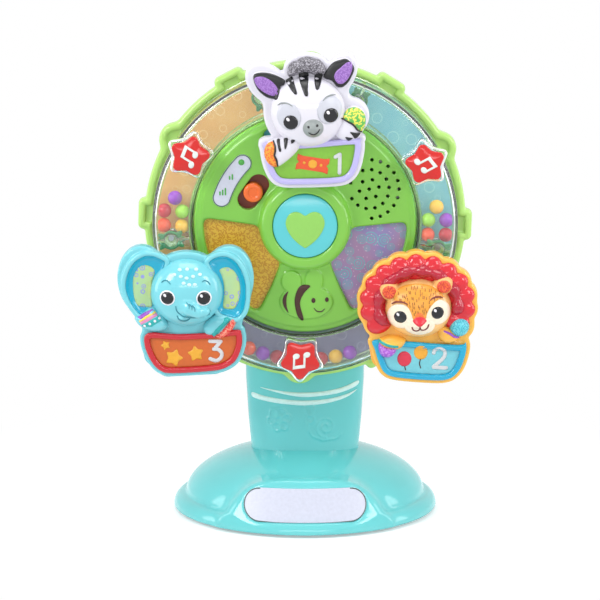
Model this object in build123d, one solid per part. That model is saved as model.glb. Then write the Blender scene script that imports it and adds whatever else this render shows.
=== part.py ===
from build123d import *
import os
from math import asin, cos, degrees, radians, sin, tan

# Tabletop toy wheel for a baby: a suction base and column carry a fixed round hub,
# and a ring with three bead channels and three hanging animal gondolas turns round it.
# Millimetres. +X is right, -Y is the front, +Z is up. The origin is on the table,
# under the middle of the base.

os.makedirs("parts", exist_ok=True)

# Clearances
running_gap = 0.5        # between faces that turn past each other
snug_gap = 0.15          # round a screw or an inserted piece
pin_clearance = 0.05     # radial, gondola bore on its pin
knob_gap = 0.35          # round the switch knob and the heart button
glue_gap = 0.05         # under the base label, for its glue

# Base
flange_radius = 84.0
flange_height = 9.0
dome_radius = 76.0
dome_top_z = 41.0
dome_crown_radius = 20.0  # the nearly level middle, under the column
base_wall = 2.6
table_gap = 1.5          # underside of the flange above the table
plate_thickness = 2.5
cup_radius = 60.0
cup_rim_width = 5.0
cup_height = 13.0
cup_stem_radius = 5.8
bib_half_width = 50.0
bib_setback = 8.6        # the bib's face at the label's middle, inside the flange's edge
bib_radius = 118.0       # the bib's own round, wider than the dome's
label_width = 77.0
label_height = 19.6      # measured upright; the bib leans back
label_middle_z = 18.4
bib_lean = 26.0          # degrees from upright
label_thickness = 0.4
base_screw_circle = 71.0

# Column
foot_half_width = 34.0
foot_half_depth = 22.5
foot_middle_y = 1.5
foot_sink = 7.0          # how far the column's foot follows the dome down
neck_half_width = 38.5
column_wall = 2.5
column_back_y = 25.0

# Wheel, measured from its axle
axle_height = 192.0
rim_radius = 100.8
rim_width = 4.2
rim_height = 8.0
web_thickness = 5.0
tilt = -2.0              # degrees, the wheel's turn at rest
spindle_radius = 62.0
spindle_wall = 3.0
channel_inner = 70.0
channel_outer = 95.4
channel_depth = 20.0
cover_wall = 2.0
fitting_shift = 1.7      # stars and screw posts, outside the middle of the channel
divider_half_angle = 39.0
divider_thickness = 1.5
post_radius = 4.0
knob_rise = 3.9
knob_half_width = 9.8
bulge_rise = 5.0
bulge_half_width = 9.0
star_radius = 12.3
star_boss_radius = 16.0
star_boss_height = 6.0
badge_thickness = 2.0
note_thickness = 0.6
pin_radius = 2.0
pin_boss_radius = 6.0
pin_boss_height = 9.2
bead_radius = 4.5
bead_gap = 0.15

# Hub, fixed, in the middle of the wheel
hub_radius = 69.3
hub_wall = 2.0
hub_plate_thickness = 2.5
hub_skirt = 11.2         # from the wheel's web to the hub plate
lip_width = 4.8
lip_height = 3.0
lobe_height = 4.0
dome_ring_radius = 28.2
dome_ring_height = 12.5
button_radius = 20.0
button_crown = 2.2
button_travel = 2.0
sticker_thickness = 0.4
slot_travel_low = 5.5
slot_travel_high = 6.0
slot_angle = 54.5
knob_radius = 6.1
knob_length = 7.0
switch_x = -32.4
switch_z = 19.9
speaker_x = 39.9
speaker_z = 21.9
speaker_radius = 13.5
speaker_depth = 8.0
speaker_shift = 1.5        # the speaker sits this far inside the middle of its holes
sound_hole_radius = 1.15
board_width = 62.0
board_height = 44.0
board_thickness = 1.6
board_post_radius = 2.2
board_post_inset = 4.0

# Housing behind the wheel
housing_radius = 66.0
housing_depth = 48.0
housing_wall = 2.6
battery_radius = 7.1
battery_length = 50.0
battery_pitch = 15.6
door_width = 66.0
door_height = 40.0

# Gondolas, in their own frame: the pin is at (0, 0)
gondola_back_wall = 2.0
gondola_back_height = 4.0
gondola_front_height = 4.5
gondola_front_wall = 1.8
gondola_side_wall = 2.0
border = 3.0             # the plaque's edge outside its basket, ears and mane
frame_width = 3.6
frame_height = 3.0
panel_thickness = 0.8
bush_radius = 5.0
bush_height = 1.8
pin_head_radius = 3.4
pin_head_height = 1.4

# Places that follow from the sizes above
housing_front_y = -20.5
bib_front = flange_radius - bib_setback
channel_middle = (channel_inner + channel_outer) / 2
pivot_radius = channel_middle
fitting_radius = channel_middle + fitting_shift
wheel_back_y = housing_front_y - running_gap
web_front_y = wheel_back_y - web_thickness
channel_front_y = web_front_y - channel_depth
cover_front_y = channel_front_y - cover_wall
star_seat_y = cover_front_y - star_boss_height
badge_front_y = star_seat_y - badge_thickness
pin_boss_y = cover_front_y - pin_boss_height
gondola_back_y = pin_boss_y - 0.3
hub_back_y = web_front_y - running_gap
hub_plate_back_y = hub_back_y - hub_skirt
hub_floor_y = hub_plate_back_y - hub_plate_thickness
lobe_front_y = hub_floor_y - lobe_height
housing_back_y = housing_front_y + housing_depth
spindle_flange = 3.0
gondola_split_y = gondola_back_y - gondola_back_height
plaque_y = gondola_split_y - gondola_front_height
zebra_angle = 90.0 + tilt
elephant_angle = 210.0 + tilt
lion_angle = 330.0 + tilt
gondola_angles = [zebra_angle, elephant_angle, lion_angle]
star_angles = [150.0 + tilt, 30.0 + tilt, 270.0 + tilt]
knob_angles = [60.0 * i + tilt for i in range(6)]
bulge_angles = [60.0 * i + 30.0 + tilt for i in range(6)]
divider_angles = [a + side * divider_half_angle for a in star_angles for side in (-1, 1)]


def polar(radius, angle):
    """A point (x, z) of the wheel, at an angle from +X towards +Z."""
    return radius * cos(radians(angle)), radius * sin(radians(angle))


def front_plane(y):
    """The upright plane at y, seen from the front: its axes are X and Z."""
    return Plane(origin=(0, y, 0), x_dir=(1, 0, 0), z_dir=(0, -1, 0))


def slab(sketch, back_y, front_y):
    """A sketch in X and Z, thickened from back_y forward to front_y."""
    return extrude(front_plane(back_y) * sketch, amount=back_y - front_y)


def rod(radius, back_y, front_y, x=0.0, z=0.0):
    """A round bar along Y."""
    return slab(Pos(x, z) * Circle(radius), back_y, front_y)


def tube(outer, inner, back_y, front_y, x=0.0, z=0.0):
    """A round tube along Y."""
    return slab(Pos(x, z) * (Circle(outer) - Circle(inner)), back_y, front_y)


def turned(points):
    """A solid turned round the Y axis, from (radius, y) points."""
    return revolve(make_face(Polyline(points, close=True)), Axis.Y)


def upright_turned(face):
    """A solid turned round the Z axis, from a face drawn in (radius, z)."""
    return revolve(Plane.XZ * face, Axis.Z)


def rod_z(radius, bottom, top, x=0.0, y=0.0):
    """A round bar along Z."""
    return Pos(x, y, bottom) * extrude(Circle(radius), amount=top - bottom)


def hull(points, radius):
    """A rounded shape round a set of corner circles."""
    circles = [Pos(x, z) * Circle(radius) for x, z in points]
    return make_hull([edge for circle in circles for edge in circle.edges()])


def oval(x, z, half_width, half_height, turn=0.0):
    """An ellipse in X and Z, turned anticlockwise."""
    if half_width >= half_height:
        shape = Ellipse(half_width, half_height)
    else:
        shape = Rot(0, 0, 90) * Ellipse(half_height, half_width)
    return Pos(x, z) * Rot(0, 0, turn) * shape


def cap(x, z, half_width, half_height, depth, seat_y, turn=0.0):
    """Half an ellipsoid that bulges forward from seat_y."""
    ball = scale(Sphere(1.0), by=(half_width, depth, half_height))
    ball = Pos(x, seat_y, z) * Rot(0, -turn, 0) * ball
    reach = half_width + half_height
    keep = Pos(x, seat_y - reach, z) * Box(2 * reach, 2 * reach, 2 * reach)
    return ball & keep


def star(outer, turn, depth_share=0.62, rounding=0.16):
    """A five-pointed star with rounded points, one of them towards the turn angle."""
    points = []
    for i in range(10):
        radius = outer if i % 2 == 0 else outer * depth_share
        points.append(polar(radius, turn + 36.0 * i))
    shape = make_face(Polyline(points, close=True))
    return fillet(shape.vertices(), outer * rounding)


def at_axle(shape):
    return Pos(0, 0, axle_height) * shape


def group(shapes):
    return Compound(children=shapes)


def save(name, shape):
    export_step(shape, "parts/" + name + ".step")


# Base


def base_outline(wall):
    """Half of the base's section, drawn in by a wall. The dome is a smooth curve."""
    foot = table_gap if wall == 0 else table_gap - 1.0
    edge = flange_radius - wall
    shoulder = dome_radius - wall
    top = dome_top_z - wall
    flange_top = table_gap + flange_height - wall
    line = Line((0, foot), (edge, foot))
    side = Line(line @ 1, (edge, flange_top - 5.0))
    round_edge = Spline([side @ 1, (edge - 3.2, flange_top)], tangents=[(0, 1), (-1, 0.1)])
    step = Line(round_edge @ 1, (shoulder + 0.6, flange_top + 0.6))
    dome = Spline(
        [step @ 1, (shoulder - 5.5, top - 18.5), (shoulder - 18.0, top - 11.4), (shoulder - 30.0, top - 6.8),
         (shoulder - 42.0, top - 3.0), (dome_crown_radius, top)],
        tangents=[(-0.05, 1), (-1, 0)],
    )
    flat = Line(dome @ 1, (0, top))
    back = Line(flat @ 1, (0, foot))
    return make_face([line, side, round_edge, step, dome, flat, back])


def bib_cone(inset=0.0):
    """The leaning round face of the bib, as a solid cone behind it."""
    bottom = table_gap
    top = dome_top_z - 2.0
    slope = tan(radians(bib_lean))
    low_radius = bib_radius - inset + (label_middle_z - bottom) * slope
    high_radius = bib_radius - inset - (top - label_middle_z) * slope
    return Pos(0, bib_radius - bib_front, (top + bottom) / 2) * Cone(low_radius, high_radius, top - bottom)


def bib_blank():
    """The raised panel in front of the dome that holds the label."""
    top = label_middle_z + label_height / 2 + 3.0
    corner = 7.0
    top_half_width = bib_half_width * 0.86
    outline = make_face(Polyline([(-top_half_width, top), (top_half_width, top), (bib_half_width, table_gap),
                                  (-bib_half_width, table_gap)], close=True))
    outline = fillet(outline.vertices().group_by(Axis.Y)[-1], corner)
    block = slab(outline, -dome_radius * 0.72, -flange_radius - 5.0)
    block &= rod_z(flange_radius - 0.4, table_gap - 1.0, dome_top_z + 1.0)
    return block & bib_cone()


def label_blank(growth=0.0):
    """The label's long round-ended outline, as a bar along Y."""
    outline = Pos(0, label_middle_z) * SlotOverall(label_width + 2 * growth, label_height + 2 * growth)
    return slab(outline, -dome_radius * 0.6, -flange_radius - 5.0)


def base_shell():
    outer = upright_turned(base_outline(0)) + bib_blank()
    inner = upright_turned(base_outline(base_wall))
    shell = outer - inner
    shell -= rod_z(cup_stem_radius + 4.0, dome_top_z - 2 * base_wall, dome_top_z + 1.0)
    shell -= label_blank(snug_gap) - bib_cone(label_thickness + glue_gap)
    for angle in base_screw_angles:
        x, y = polar(base_screw_circle, angle)
        post = rod_z(3.6, plate_top_z, dome_top_z, x, y) & upright_turned(base_outline(base_wall))
        shell += post
        shell -= rod_z(screw_radius + snug_gap, table_gap, plate_top_z + screw_length, x, y)
    return shell.solids().sort_by(SortBy.VOLUME)[-1]


plate_top_z = table_gap + plate_thickness
screw_radius = 1.5
screw_head_radius = 2.8
screw_head_height = 1.6
screw_length = 9.0
base_screw_angles = [45.0, 135.0, 225.0, 315.0]


def base_bottom_plate():
    """A dished plate: its middle steps up over the suction cup."""
    dish_top = cup_height + 4.0
    edge = flange_radius - base_wall - snug_gap
    wall_out = cup_radius + 4.5
    wall_in = wall_out - plate_thickness
    face = make_face(Polyline([
        (cup_stem_radius + snug_gap, dish_top),
        (cup_stem_radius + snug_gap, dish_top - plate_thickness),
        (wall_in, dish_top - plate_thickness),
        (wall_in, table_gap),
        (edge, table_gap),
        (edge, plate_top_z),
        (wall_out, plate_top_z),
        (wall_out, dish_top),
    ], close=True))
    plate = upright_turned(face)
    for angle in base_screw_angles:
        x, y = polar(base_screw_circle, angle)
        plate -= rod_z(screw_radius + snug_gap, table_gap - 1, plate_top_z + 1, x, y)
        plate -= rod_z(screw_head_radius + snug_gap, table_gap - 1, table_gap + screw_head_height, x, y)
    return plate


def suction_cup():
    """A thin rubber bell: its flat rim stands on the table."""
    shoulder = cup_height + 4.0 - plate_thickness
    profile = [
        Line((cup_radius - cup_rim_width, 0), (cup_radius, 0)),
        Line((cup_radius, 0), (cup_radius, 1.4)),
        Spline([(cup_radius, 1.4), (cup_radius * 0.6, cup_height * 0.72), (cup_stem_radius + 4.0, cup_height)]),
        Line((cup_stem_radius + 4.0, cup_height), (cup_stem_radius + 4.0, shoulder)),
        Line((cup_stem_radius + 4.0, shoulder), (cup_stem_radius, shoulder)),
        Line((cup_stem_radius, shoulder), (cup_stem_radius, cup_stem_top)),
        Line((cup_stem_radius, cup_stem_top), (0, cup_stem_top)),
        Line((0, cup_stem_top), (0, cup_height - 4.0)),
        Spline([(0, cup_height - 4.0), (cup_radius * 0.55, cup_height * 0.45), (cup_radius - cup_rim_width, 0)]),
    ]
    return upright_turned(make_face(profile))


cup_stem_top = cup_height + 9.0


def cup_retainer():
    """The collar that holds the cup's stem above the plate."""
    bottom = cup_height + 4.0
    collar = rod_z(cup_stem_radius + 6.0, bottom, bottom + 2.6)
    return collar - rod_z(cup_stem_radius + snug_gap / 3, bottom - 1, bottom + 4)


def base_screws():
    screws = []
    for angle in base_screw_angles:
        x, y = polar(base_screw_circle, angle)
        head = rod_z(screw_head_radius, table_gap + 0.1, table_gap + screw_head_height, x, y)
        shank = rod_z(screw_radius, table_gap + screw_head_height, plate_top_z + screw_length - 0.5, x, y)
        screws.append(head + shank)
    return group(screws)


def base_label():
    return (label_blank() - bib_cone(label_thickness)) & bib_cone()


# Column


def column_section(z, half_width, half_depth, middle_y):
    return Pos(0, middle_y, z) * Ellipse(half_width, half_depth)


def column_blank(wall):
    """The column: an oval tube that stands on the dome and widens towards the wheel."""
    neck_front = -wheel_back_y - 2.0
    neck_depth = (column_back_y + neck_front) / 2
    neck_middle = (column_back_y - neck_front) / 2
    neck_z = axle_height - rim_radius - bulge_rise - 2.0
    foot_z = dome_top_z - foot_sink
    sections = [
        column_section(foot_z, foot_half_width - wall, foot_half_depth - wall, foot_middle_y),
        column_section((foot_z + neck_z) / 2, (foot_half_width + neck_half_width) / 2 - wall,
                       (foot_half_depth + neck_depth) / 2 - wall, (foot_middle_y + neck_middle) / 2),
        column_section(neck_z, neck_half_width - 0.8 - wall, neck_depth - wall, neck_middle),
        column_section(axle_height - housing_radius * 0.6, neck_half_width - wall, neck_depth - wall, neck_middle),
    ]
    return loft(sections)


def column_halves():
    """Front and back shells of the column, closed along an upright joint."""
    body = column_blank(0) - column_blank(column_wall) - upright_turned(base_outline(0))
    body -= at_axle(rod(housing_radius + 0.02, column_back_y + 20.0, housing_front_y - 10.0))
    split_y = (column_back_y + wheel_back_y) / 2
    big = 2 * axle_height
    front_room = Pos(0, split_y - big / 2, axle_height / 2) * Box(big, big, big)
    front = body & front_room
    back = body - front_room
    return front, back


# Housing behind the wheel


def back_housing():
    """A round cup, open to the front, with the battery bay in its back wall."""
    back = housing_back_y
    edge = housing_radius
    inner = edge - housing_wall
    turn_in = 9.0
    face = make_face([
        Line((0, back), (edge - turn_in, back)),
        RadiusArc((edge - turn_in, back), (edge, back - turn_in), turn_in),
        Line((edge, back - turn_in), (edge, housing_front_y)),
        Line((edge, housing_front_y), (inner, housing_front_y)),
        Line((inner, housing_front_y), (inner, back - turn_in)),
        RadiusArc((inner, back - turn_in), (edge - turn_in, back - housing_wall), -(turn_in - housing_wall)),
        Line((edge - turn_in, back - housing_wall), (0, back - housing_wall)),
        Line((0, back - housing_wall), (0, back)),
    ])
    shell = revolve(face, Axis.Y)
    bay = Pos(0, back - bay_depth / 2, 0) * Box(door_width - 4.0, bay_depth, door_height - 4.0)
    bay_outer = Pos(0, back - (bay_depth + 2.0) / 2, 0) * Box(door_width + 4.0, bay_depth + 2.0, door_height + 4.0)
    bay_outer &= revolve(make_face(Polyline([(0, back), (inner, back), (inner, housing_front_y),
                                             (0, housing_front_y)], close=True)), Axis.Y)
    door_seat = Pos(0, back - housing_wall / 2, 0) * Box(door_width + 2 * snug_gap, housing_wall,
                                                         door_height + 2 * snug_gap)
    shell = shell + bay_outer - bay - door_seat
    for x, z in housing_screw_places:
        post = rod(3.6, back - housing_wall / 2, housing_front_y + spindle_flange, x, z)
        shell += post
        shell -= rod(screw_radius + snug_gap, housing_front_y + spindle_flange + screw_length,
                     housing_front_y, x, z)
    shell -= rod(screw_radius + snug_gap, back, back - bay_depth, 0, door_screw_z)
    return at_axle(shell)


bay_depth = 2 * battery_radius + 4.0
door_screw_z = 0.0
housing_screw_places = [polar(54.0, angle) for angle in (50.0, 130.0, 230.0, 310.0)]


def battery_door():
    door = Pos(0, housing_back_y - housing_wall / 2, 0) * Box(door_width, housing_wall, door_height)
    door = fillet(door.edges().filter_by(Axis.Y), 1.0)
    door -= rod(screw_radius + snug_gap, housing_back_y + 1, housing_back_y - 4, 0, door_screw_z)
    door -= rod(screw_head_radius + snug_gap, housing_back_y + 1, housing_back_y - screw_head_height,
                0, door_screw_z)
    grips = [Pos(0, housing_back_y, side * (door_height / 2 - 5.0 - 2.2 * i)) * Box(18.0, 0.8, 0.9)
             for side in (-1, 1) for i in range(3)]
    for grip in grips:
        door -= grip
    return at_axle(door)


def battery_door_screw():
    head = rod(screw_head_radius, housing_back_y - 0.2, housing_back_y - screw_head_height, 0, door_screw_z)
    shank = rod(screw_radius, housing_back_y - screw_head_height, housing_back_y - bay_depth + 1.0,
                0, door_screw_z)
    return at_axle(head + shank)


battery_y = housing_back_y - housing_wall - battery_radius - 0.4
battery_rows = [-(battery_radius + screw_radius + 1.0), battery_radius + screw_radius + 1.0]


def batteries():
    """Two cells that lie one above the other in the bay."""
    cells = []
    for z in battery_rows:
        body = Pos(0, battery_y, z) * Rot(0, 90, 0) * Cylinder(battery_radius, battery_length - 2.0)
        nub = Pos(battery_length / 2, battery_y, z) * Rot(0, 90, 0) * Cylinder(battery_radius * 0.37, 2.0)
        cells.append(body + nub)
    return at_axle(group(cells))


def battery_contacts():
    """Plates at the ends of the cells."""
    plates = []
    for z in battery_rows:
        for side in (-1, 1):
            near = battery_length / 2 + (1.0 if side > 0 else -1.0)
            far = (door_width - 4.0) / 2
            x = side * (near + far) / 2
            plates.append(Pos(x, battery_y, z) * Box(far - near - 0.2, 2 * battery_radius * 0.8,
                                                     2 * battery_radius * 0.8))
    return at_axle(group(plates))


def spindle():
    """The fixed drum that the wheel turns on, with the flange that closes the housing."""
    flange = rod(housing_radius - housing_wall - snug_gap, housing_front_y + spindle_flange, housing_front_y)
    drum = tube(spindle_radius, spindle_radius - spindle_wall, housing_front_y, hub_plate_back_y)
    body = flange + drum - rod(14.0, housing_front_y + spindle_flange + 1, housing_front_y - 1, 0, -20.0)
    for x, z in housing_screw_places:
        body -= rod(screw_radius + snug_gap, housing_front_y + 4, housing_front_y - 1, x, z)
    for x, z in hub_screw_places:
        body += rod(3.4, housing_front_y, hub_plate_back_y, x, z)
        body -= rod(screw_radius + snug_gap, housing_front_y + 4, hub_plate_back_y - 1, x, z)
        body -= rod(screw_head_radius + snug_gap, housing_front_y + 4, housing_front_y + 1.2, x, z)
    return at_axle(body)


hub_screw_places = [polar(54.6, angle) for angle in (0.0, 90.0, 180.0, 270.0)]


def hub_screws():
    """Screws from inside the housing, through the spindle's posts into the hub plate's bosses."""
    screws = []
    for x, z in hub_screw_places:
        head = rod(screw_head_radius, housing_front_y + 1.2 + screw_head_height, housing_front_y + 1.2, x, z)
        shank = rod(screw_radius, housing_front_y + 1.2, hub_plate_back_y - hub_plate_thickness + 0.6, x, z)
        screws.append(head + shank)
    for x, z in housing_screw_places:
        head = rod(screw_head_radius, housing_front_y, housing_front_y - screw_head_height, x, z)
        shank = rod(screw_radius, housing_front_y + spindle_flange + screw_length - 0.5, housing_front_y, x, z)
        screws.append(head + shank)
    return at_axle(group(screws))


# Hub front


def sector(inner, outer, corners):
    """A window between two circles, with straight sides through four corner points."""
    quad = make_face(Polyline(corners, close=True))
    return quad & (Circle(outer) - Circle(inner))


window_outer = hub_radius - lip_width - 0.8
left_window = [(-28.0, -1.5), (-80.0, 6.0), (-80.0, -80.0), (-41.0, -80.0), (-21.0, -40.0), (-13.0, -20.0)]
right_window = [(28.0, -2.6), (80.0, 2.6), (80.0, -80.0), (41.0, -80.0), (21.5, -40.0), (13.0, -20.0)]
top_window = [(-9.0, 26.0), (-38.0, 75.0), (38.0, 75.0), (9.0, 26.0)]


def window(corners, shrink=0.0):
    return sector(dome_ring_radius + shrink, window_outer - shrink, corners)


def sound_holes():
    """Rings of small round holes in front of the speaker."""
    places = [(0.0, 0.0)]
    places += [polar(6.2, 60.0 * i + 12.0) for i in range(6)]
    places += [polar(12.4, 26.0 * i + 5.0) for i in range(-6, 7)]
    places += [polar(18.6, 17.0 * i) for i in range(-5, 6)]
    return [(speaker_x + x, speaker_z + z) for x, z in places]


def slot_shape(growth=0.0):
    """The switch slot's outline, along its slanted track."""
    length = slot_travel_low + slot_travel_high
    middle = (slot_travel_high - slot_travel_low) / 2
    x = switch_x + middle * cos(radians(slot_angle))
    z = switch_z + middle * sin(radians(slot_angle))
    radius = knob_radius + knob_gap + growth
    return Pos(x, z) * Rot(0, 0, slot_angle) * SlotCenterToCenter(length, 2 * radius)


def bee():
    """A low moulded bee under the heart button."""
    body = oval(0.8, -49.6, 16.6, 11.0)
    wings = oval(-8.6, -36.4, 6.4, 6.8) + oval(5.6, -36.0, 5.8, 7.4)
    return body + wings


def hub_front():
    """The round face of the hub: plate, lip, three raised lobes and the button's dome ring."""
    plate = rod(hub_radius, hub_plate_back_y, hub_floor_y)
    skirt = tube(hub_radius, hub_radius - hub_wall, hub_back_y, hub_plate_back_y)
    lip = tube(hub_radius, hub_radius - lip_width, hub_floor_y, hub_floor_y - lip_height)
    lip = fillet(lip.edges().group_by(Axis.Y)[0], lip_height * 0.35)
    lobes = Circle(hub_radius - lip_width + 0.5) - Circle(dome_ring_radius - 2.0)
    for corners in (left_window, right_window, top_window):
        lobes -= window(corners)
    lobe_body = slab(lobes, hub_floor_y, lobe_front_y)
    ring_top = hub_floor_y - dome_ring_height
    hole = button_radius + knob_gap
    ring_face = make_face([
        Line((hole, hub_plate_back_y), (dome_ring_radius, hub_plate_back_y)),
        Line((dome_ring_radius, hub_plate_back_y), (dome_ring_radius, lobe_front_y)),
        Spline([(dome_ring_radius, lobe_front_y), (dome_ring_radius - 2.6, ring_top + 2.4),
                (hole + 1.0, ring_top)], tangents=[(0, -1), (-1, -0.1)]),
        Line((hole + 1.0, ring_top), (hole, ring_top + 0.6)),
        Line((hole, ring_top + 0.6), (hole, hub_plate_back_y)),
    ])
    face = plate + skirt + lip + lobe_body + slab(bee(), lobe_front_y, lobe_front_y - 1.2)
    face -= rod(dome_ring_radius - 0.5, hub_plate_back_y + 1, lobe_front_y - 1)
    face += revolve(ring_face, Axis.Y)
    face -= slab(slot_shape(), hub_plate_back_y + 1, lobe_front_y - 1)
    for x, z in sound_holes():
        face -= rod(sound_hole_radius, hub_plate_back_y + 1, lobe_front_y - 1, x, z)
    for x, z in hub_screw_places:
        face -= rod(screw_radius + snug_gap, hub_plate_back_y + 1, hub_floor_y + 0.4, x, z)
    for x, z in board_post_places:
        face += rod(board_post_radius, board_front_y, hub_plate_back_y - 0.5, x, z)
    return at_axle(face)


def sticker(corners):
    """A printed sheet on the hub floor, just inside its window."""
    return at_axle(slab(window(corners, 0.3), hub_floor_y, hub_floor_y - sticker_thickness))


def switch_label():
    """A curved strip beside the switch, on the upper left lobe."""
    middle_radius = 54.6
    half_width = 5.6
    start, end = 135.5, 162.5
    band = Circle(middle_radius + half_width) - Circle(middle_radius - half_width)
    wedge = make_face(Polyline([(0, 0), polar(120, start), polar(120, (start + end) / 2), polar(120, end)],
                               close=True))
    band = band & wedge
    for angle in (start, end):
        x, z = polar(middle_radius, angle)
        band += Pos(x, z) * Circle(half_width)
    return at_axle(slab(band, lobe_front_y, lobe_front_y - sticker_thickness))


def switch_knob():
    """The round thumb knob, with a wide foot behind the face that keeps it in."""
    knob = rod(knob_radius, hub_plate_back_y + 2.0, lobe_front_y - 2.4, switch_x, switch_z)
    knob = fillet(knob.edges().group_by(Axis.Y)[0], 1.2)
    foot = rod(knob_radius + 2.4, hub_plate_back_y + 2.0, hub_plate_back_y + 0.3, switch_x, switch_z)
    return at_axle(knob + foot)


def slide_switch():
    """The electric slide switch behind the knob."""
    depth = 5.0
    back = hub_plate_back_y + 2.3 + depth
    body = Pos(switch_x, back - depth / 2, switch_z) * Rot(0, -slot_angle, 0) * Box(19.0, depth, 8.0)
    return at_axle(body)


def speaker():
    """Basket and magnet of the small round speaker."""
    front = hub_plate_back_y + 0.1
    x = speaker_x - speaker_shift
    z = speaker_z - speaker_shift * speaker_z / speaker_x
    rim = rod(speaker_radius, front + 2.0, front, x, z)
    body = rod(speaker_radius * 0.78, front + speaker_depth * 0.6, front + 2.0, x, z)
    magnet = rod(speaker_radius * 0.5, front + speaker_depth, front + speaker_depth * 0.6, x, z)
    cone = rod(speaker_radius * 0.7, front + 1.4, front, x, z)
    return at_axle(rim + body + magnet - cone)


board_front_y = hub_plate_back_y + speaker_depth + 1.5
board_x = -6.0
board_z = -14.0
board_post_x = board_width / 2 - board_post_inset
board_post_z = board_height / 2 - board_post_inset
board_post_places = [(board_x - board_post_x, board_z - board_post_z),
                     (board_x + board_post_x, board_z - board_post_z),
                     (board_x - board_post_x, board_z + board_post_z)]


def circuit_board():
    """The board behind the hub face, with its chip and the spin sensor's switch."""
    board = Box(board_width, board_thickness, board_height)
    board = Pos(board_x, board_front_y + board_thickness / 2, board_z) * board
    chip = Pos(-18.0, board_front_y - 0.9, -24.0) * Box(10.0, 1.8, 10.0)
    sensor = Pos(8.0, board_front_y - 1.5, -30.0) * Box(9.0, 3.0, 6.0)
    lamp = rod(2.5, board_front_y, board_front_y - 3.0, 0.0, -13.0)
    return at_axle(board + chip + sensor + lamp)


def button_cushion():
    """The silicone dome under the button, which pushes it back out."""
    back = board_front_y
    front = button_back_y + button_travel + 0.1
    ring = tube(9.0, 7.4, back, back - 1.2)
    bell = turned([(7.4, back - 1.2), (9.0, back - 1.2), (6.0, front + 1.0), (6.0, front),
                   (4.0, front), (4.0, front + 1.0)])
    return at_axle(ring + bell)


button_back_y = hub_plate_back_y + button_travel + 1.0
button_rim_y = hub_floor_y - dome_ring_height + 0.4


def heart_sketch(size):
    """A heart: two round cheeks over a point."""
    cheek = size * 0.27
    cheeks = Pos(-cheek * 0.86, cheek * 0.55) * Circle(cheek) + Pos(cheek * 0.86, cheek * 0.55) * Circle(cheek)
    body = hull([(-cheek * 1.08, cheek * 0.42), (cheek * 1.08, cheek * 0.42)], cheek * 0.78) + hull(
        [(-cheek * 1.02, cheek * 0.3), (cheek * 1.02, cheek * 0.3), (0, -cheek * 1.45)], cheek * 0.42)
    return cheeks + body


heart_size = 25.0


def button_crown_body(growth=0.0):
    """The lens-shaped crown of the button."""
    radius = button_radius
    bulge = button_crown + growth
    sphere_radius = (radius ** 2 + bulge ** 2) / (2 * bulge)
    ball = Pos(0, button_rim_y - bulge + sphere_radius, 0) * Sphere(sphere_radius)
    return ball & rod(radius, button_rim_y, button_rim_y - bulge - 1.0)


def heart_button():
    """The blue push button: a crowned cap on a hollow skirt, with a heart-shaped window."""
    skirt = tube(button_radius, button_radius - 1.8, button_back_y, button_rim_y)
    floor = rod(button_radius, button_rim_y + 1.6, button_rim_y)
    stem = rod(6.0, button_back_y, button_rim_y)
    stop = tube(button_radius + 2.2, button_radius - 1.8, hub_plate_back_y + 1.1, hub_plate_back_y + 0.1)
    body = skirt + floor + stem + button_crown_body() + stop
    body -= slab(heart_sketch(heart_size), button_rim_y - 0.8, button_rim_y - 10.0)
    return at_axle(body)


def heart_lens():
    """The heart-shaped light window, set into the button's crown."""
    lens = slab(heart_sketch(heart_size - 0.2), button_rim_y - 0.8, button_rim_y - 10.0)
    return at_axle(lens & button_crown_body(0.25))


# Wheel


def rim_outline(growth=0.0):
    """The wheel's outer edge, with its low grip pads and round bulges."""
    shape = Circle(rim_radius + growth)
    for angle in knob_angles:
        pad = hull([(rim_radius - 6.0, -knob_half_width + 3.0), (rim_radius - 6.0, knob_half_width - 3.0),
                    (rim_radius + knob_rise - 3.0, -knob_half_width + 3.6),
                    (rim_radius + knob_rise - 3.0, knob_half_width - 3.6)], 3.0 + growth)
        shape += Rot(0, 0, angle) * pad
    for angle in bulge_angles:
        chord = bulge_half_width
        radius = (chord ** 2 + bulge_rise ** 2) / (2 * bulge_rise) + growth
        x, z = polar(rim_radius + bulge_rise - radius + growth, angle)
        shape += Pos(x, z) * Circle(radius)
    return shape


def wheel_back_ring():
    """The green ring: a web that turns on the spindle, and a raised, pocketed rim."""
    web = slab(rim_outline() - Circle(spindle_radius + 0.3), wheel_back_y, web_front_y)
    rim_front_y = wheel_back_y - rim_height
    rim = slab(rim_outline(), web_front_y, rim_front_y)
    rim -= rod(rim_radius - rim_width, web_front_y + 1, rim_front_y - 1)
    ring = web + rim
    for angle in divider_angles:
        x, z = polar(fitting_radius, angle)
        ring -= rod(screw_radius + snug_gap, wheel_back_y + 1, web_front_y - 1, x, z)
        ring -= rod(screw_head_radius + snug_gap, wheel_back_y + 1, wheel_back_y - screw_head_height, x, z)
    return at_axle(ring)


def divider(angle):
    """A thin clear wall across the channel, with the screw post in its middle."""
    x, z = polar(fitting_radius, angle)
    inner = channel_inner + cover_wall / 2
    outer = channel_outer - cover_wall / 2
    wall = Rot(0, 0, angle) * Pos((inner + outer) / 2, 0) * Rectangle(outer - inner, divider_thickness)
    return wall + Pos(x, z) * Circle(post_radius)


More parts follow.
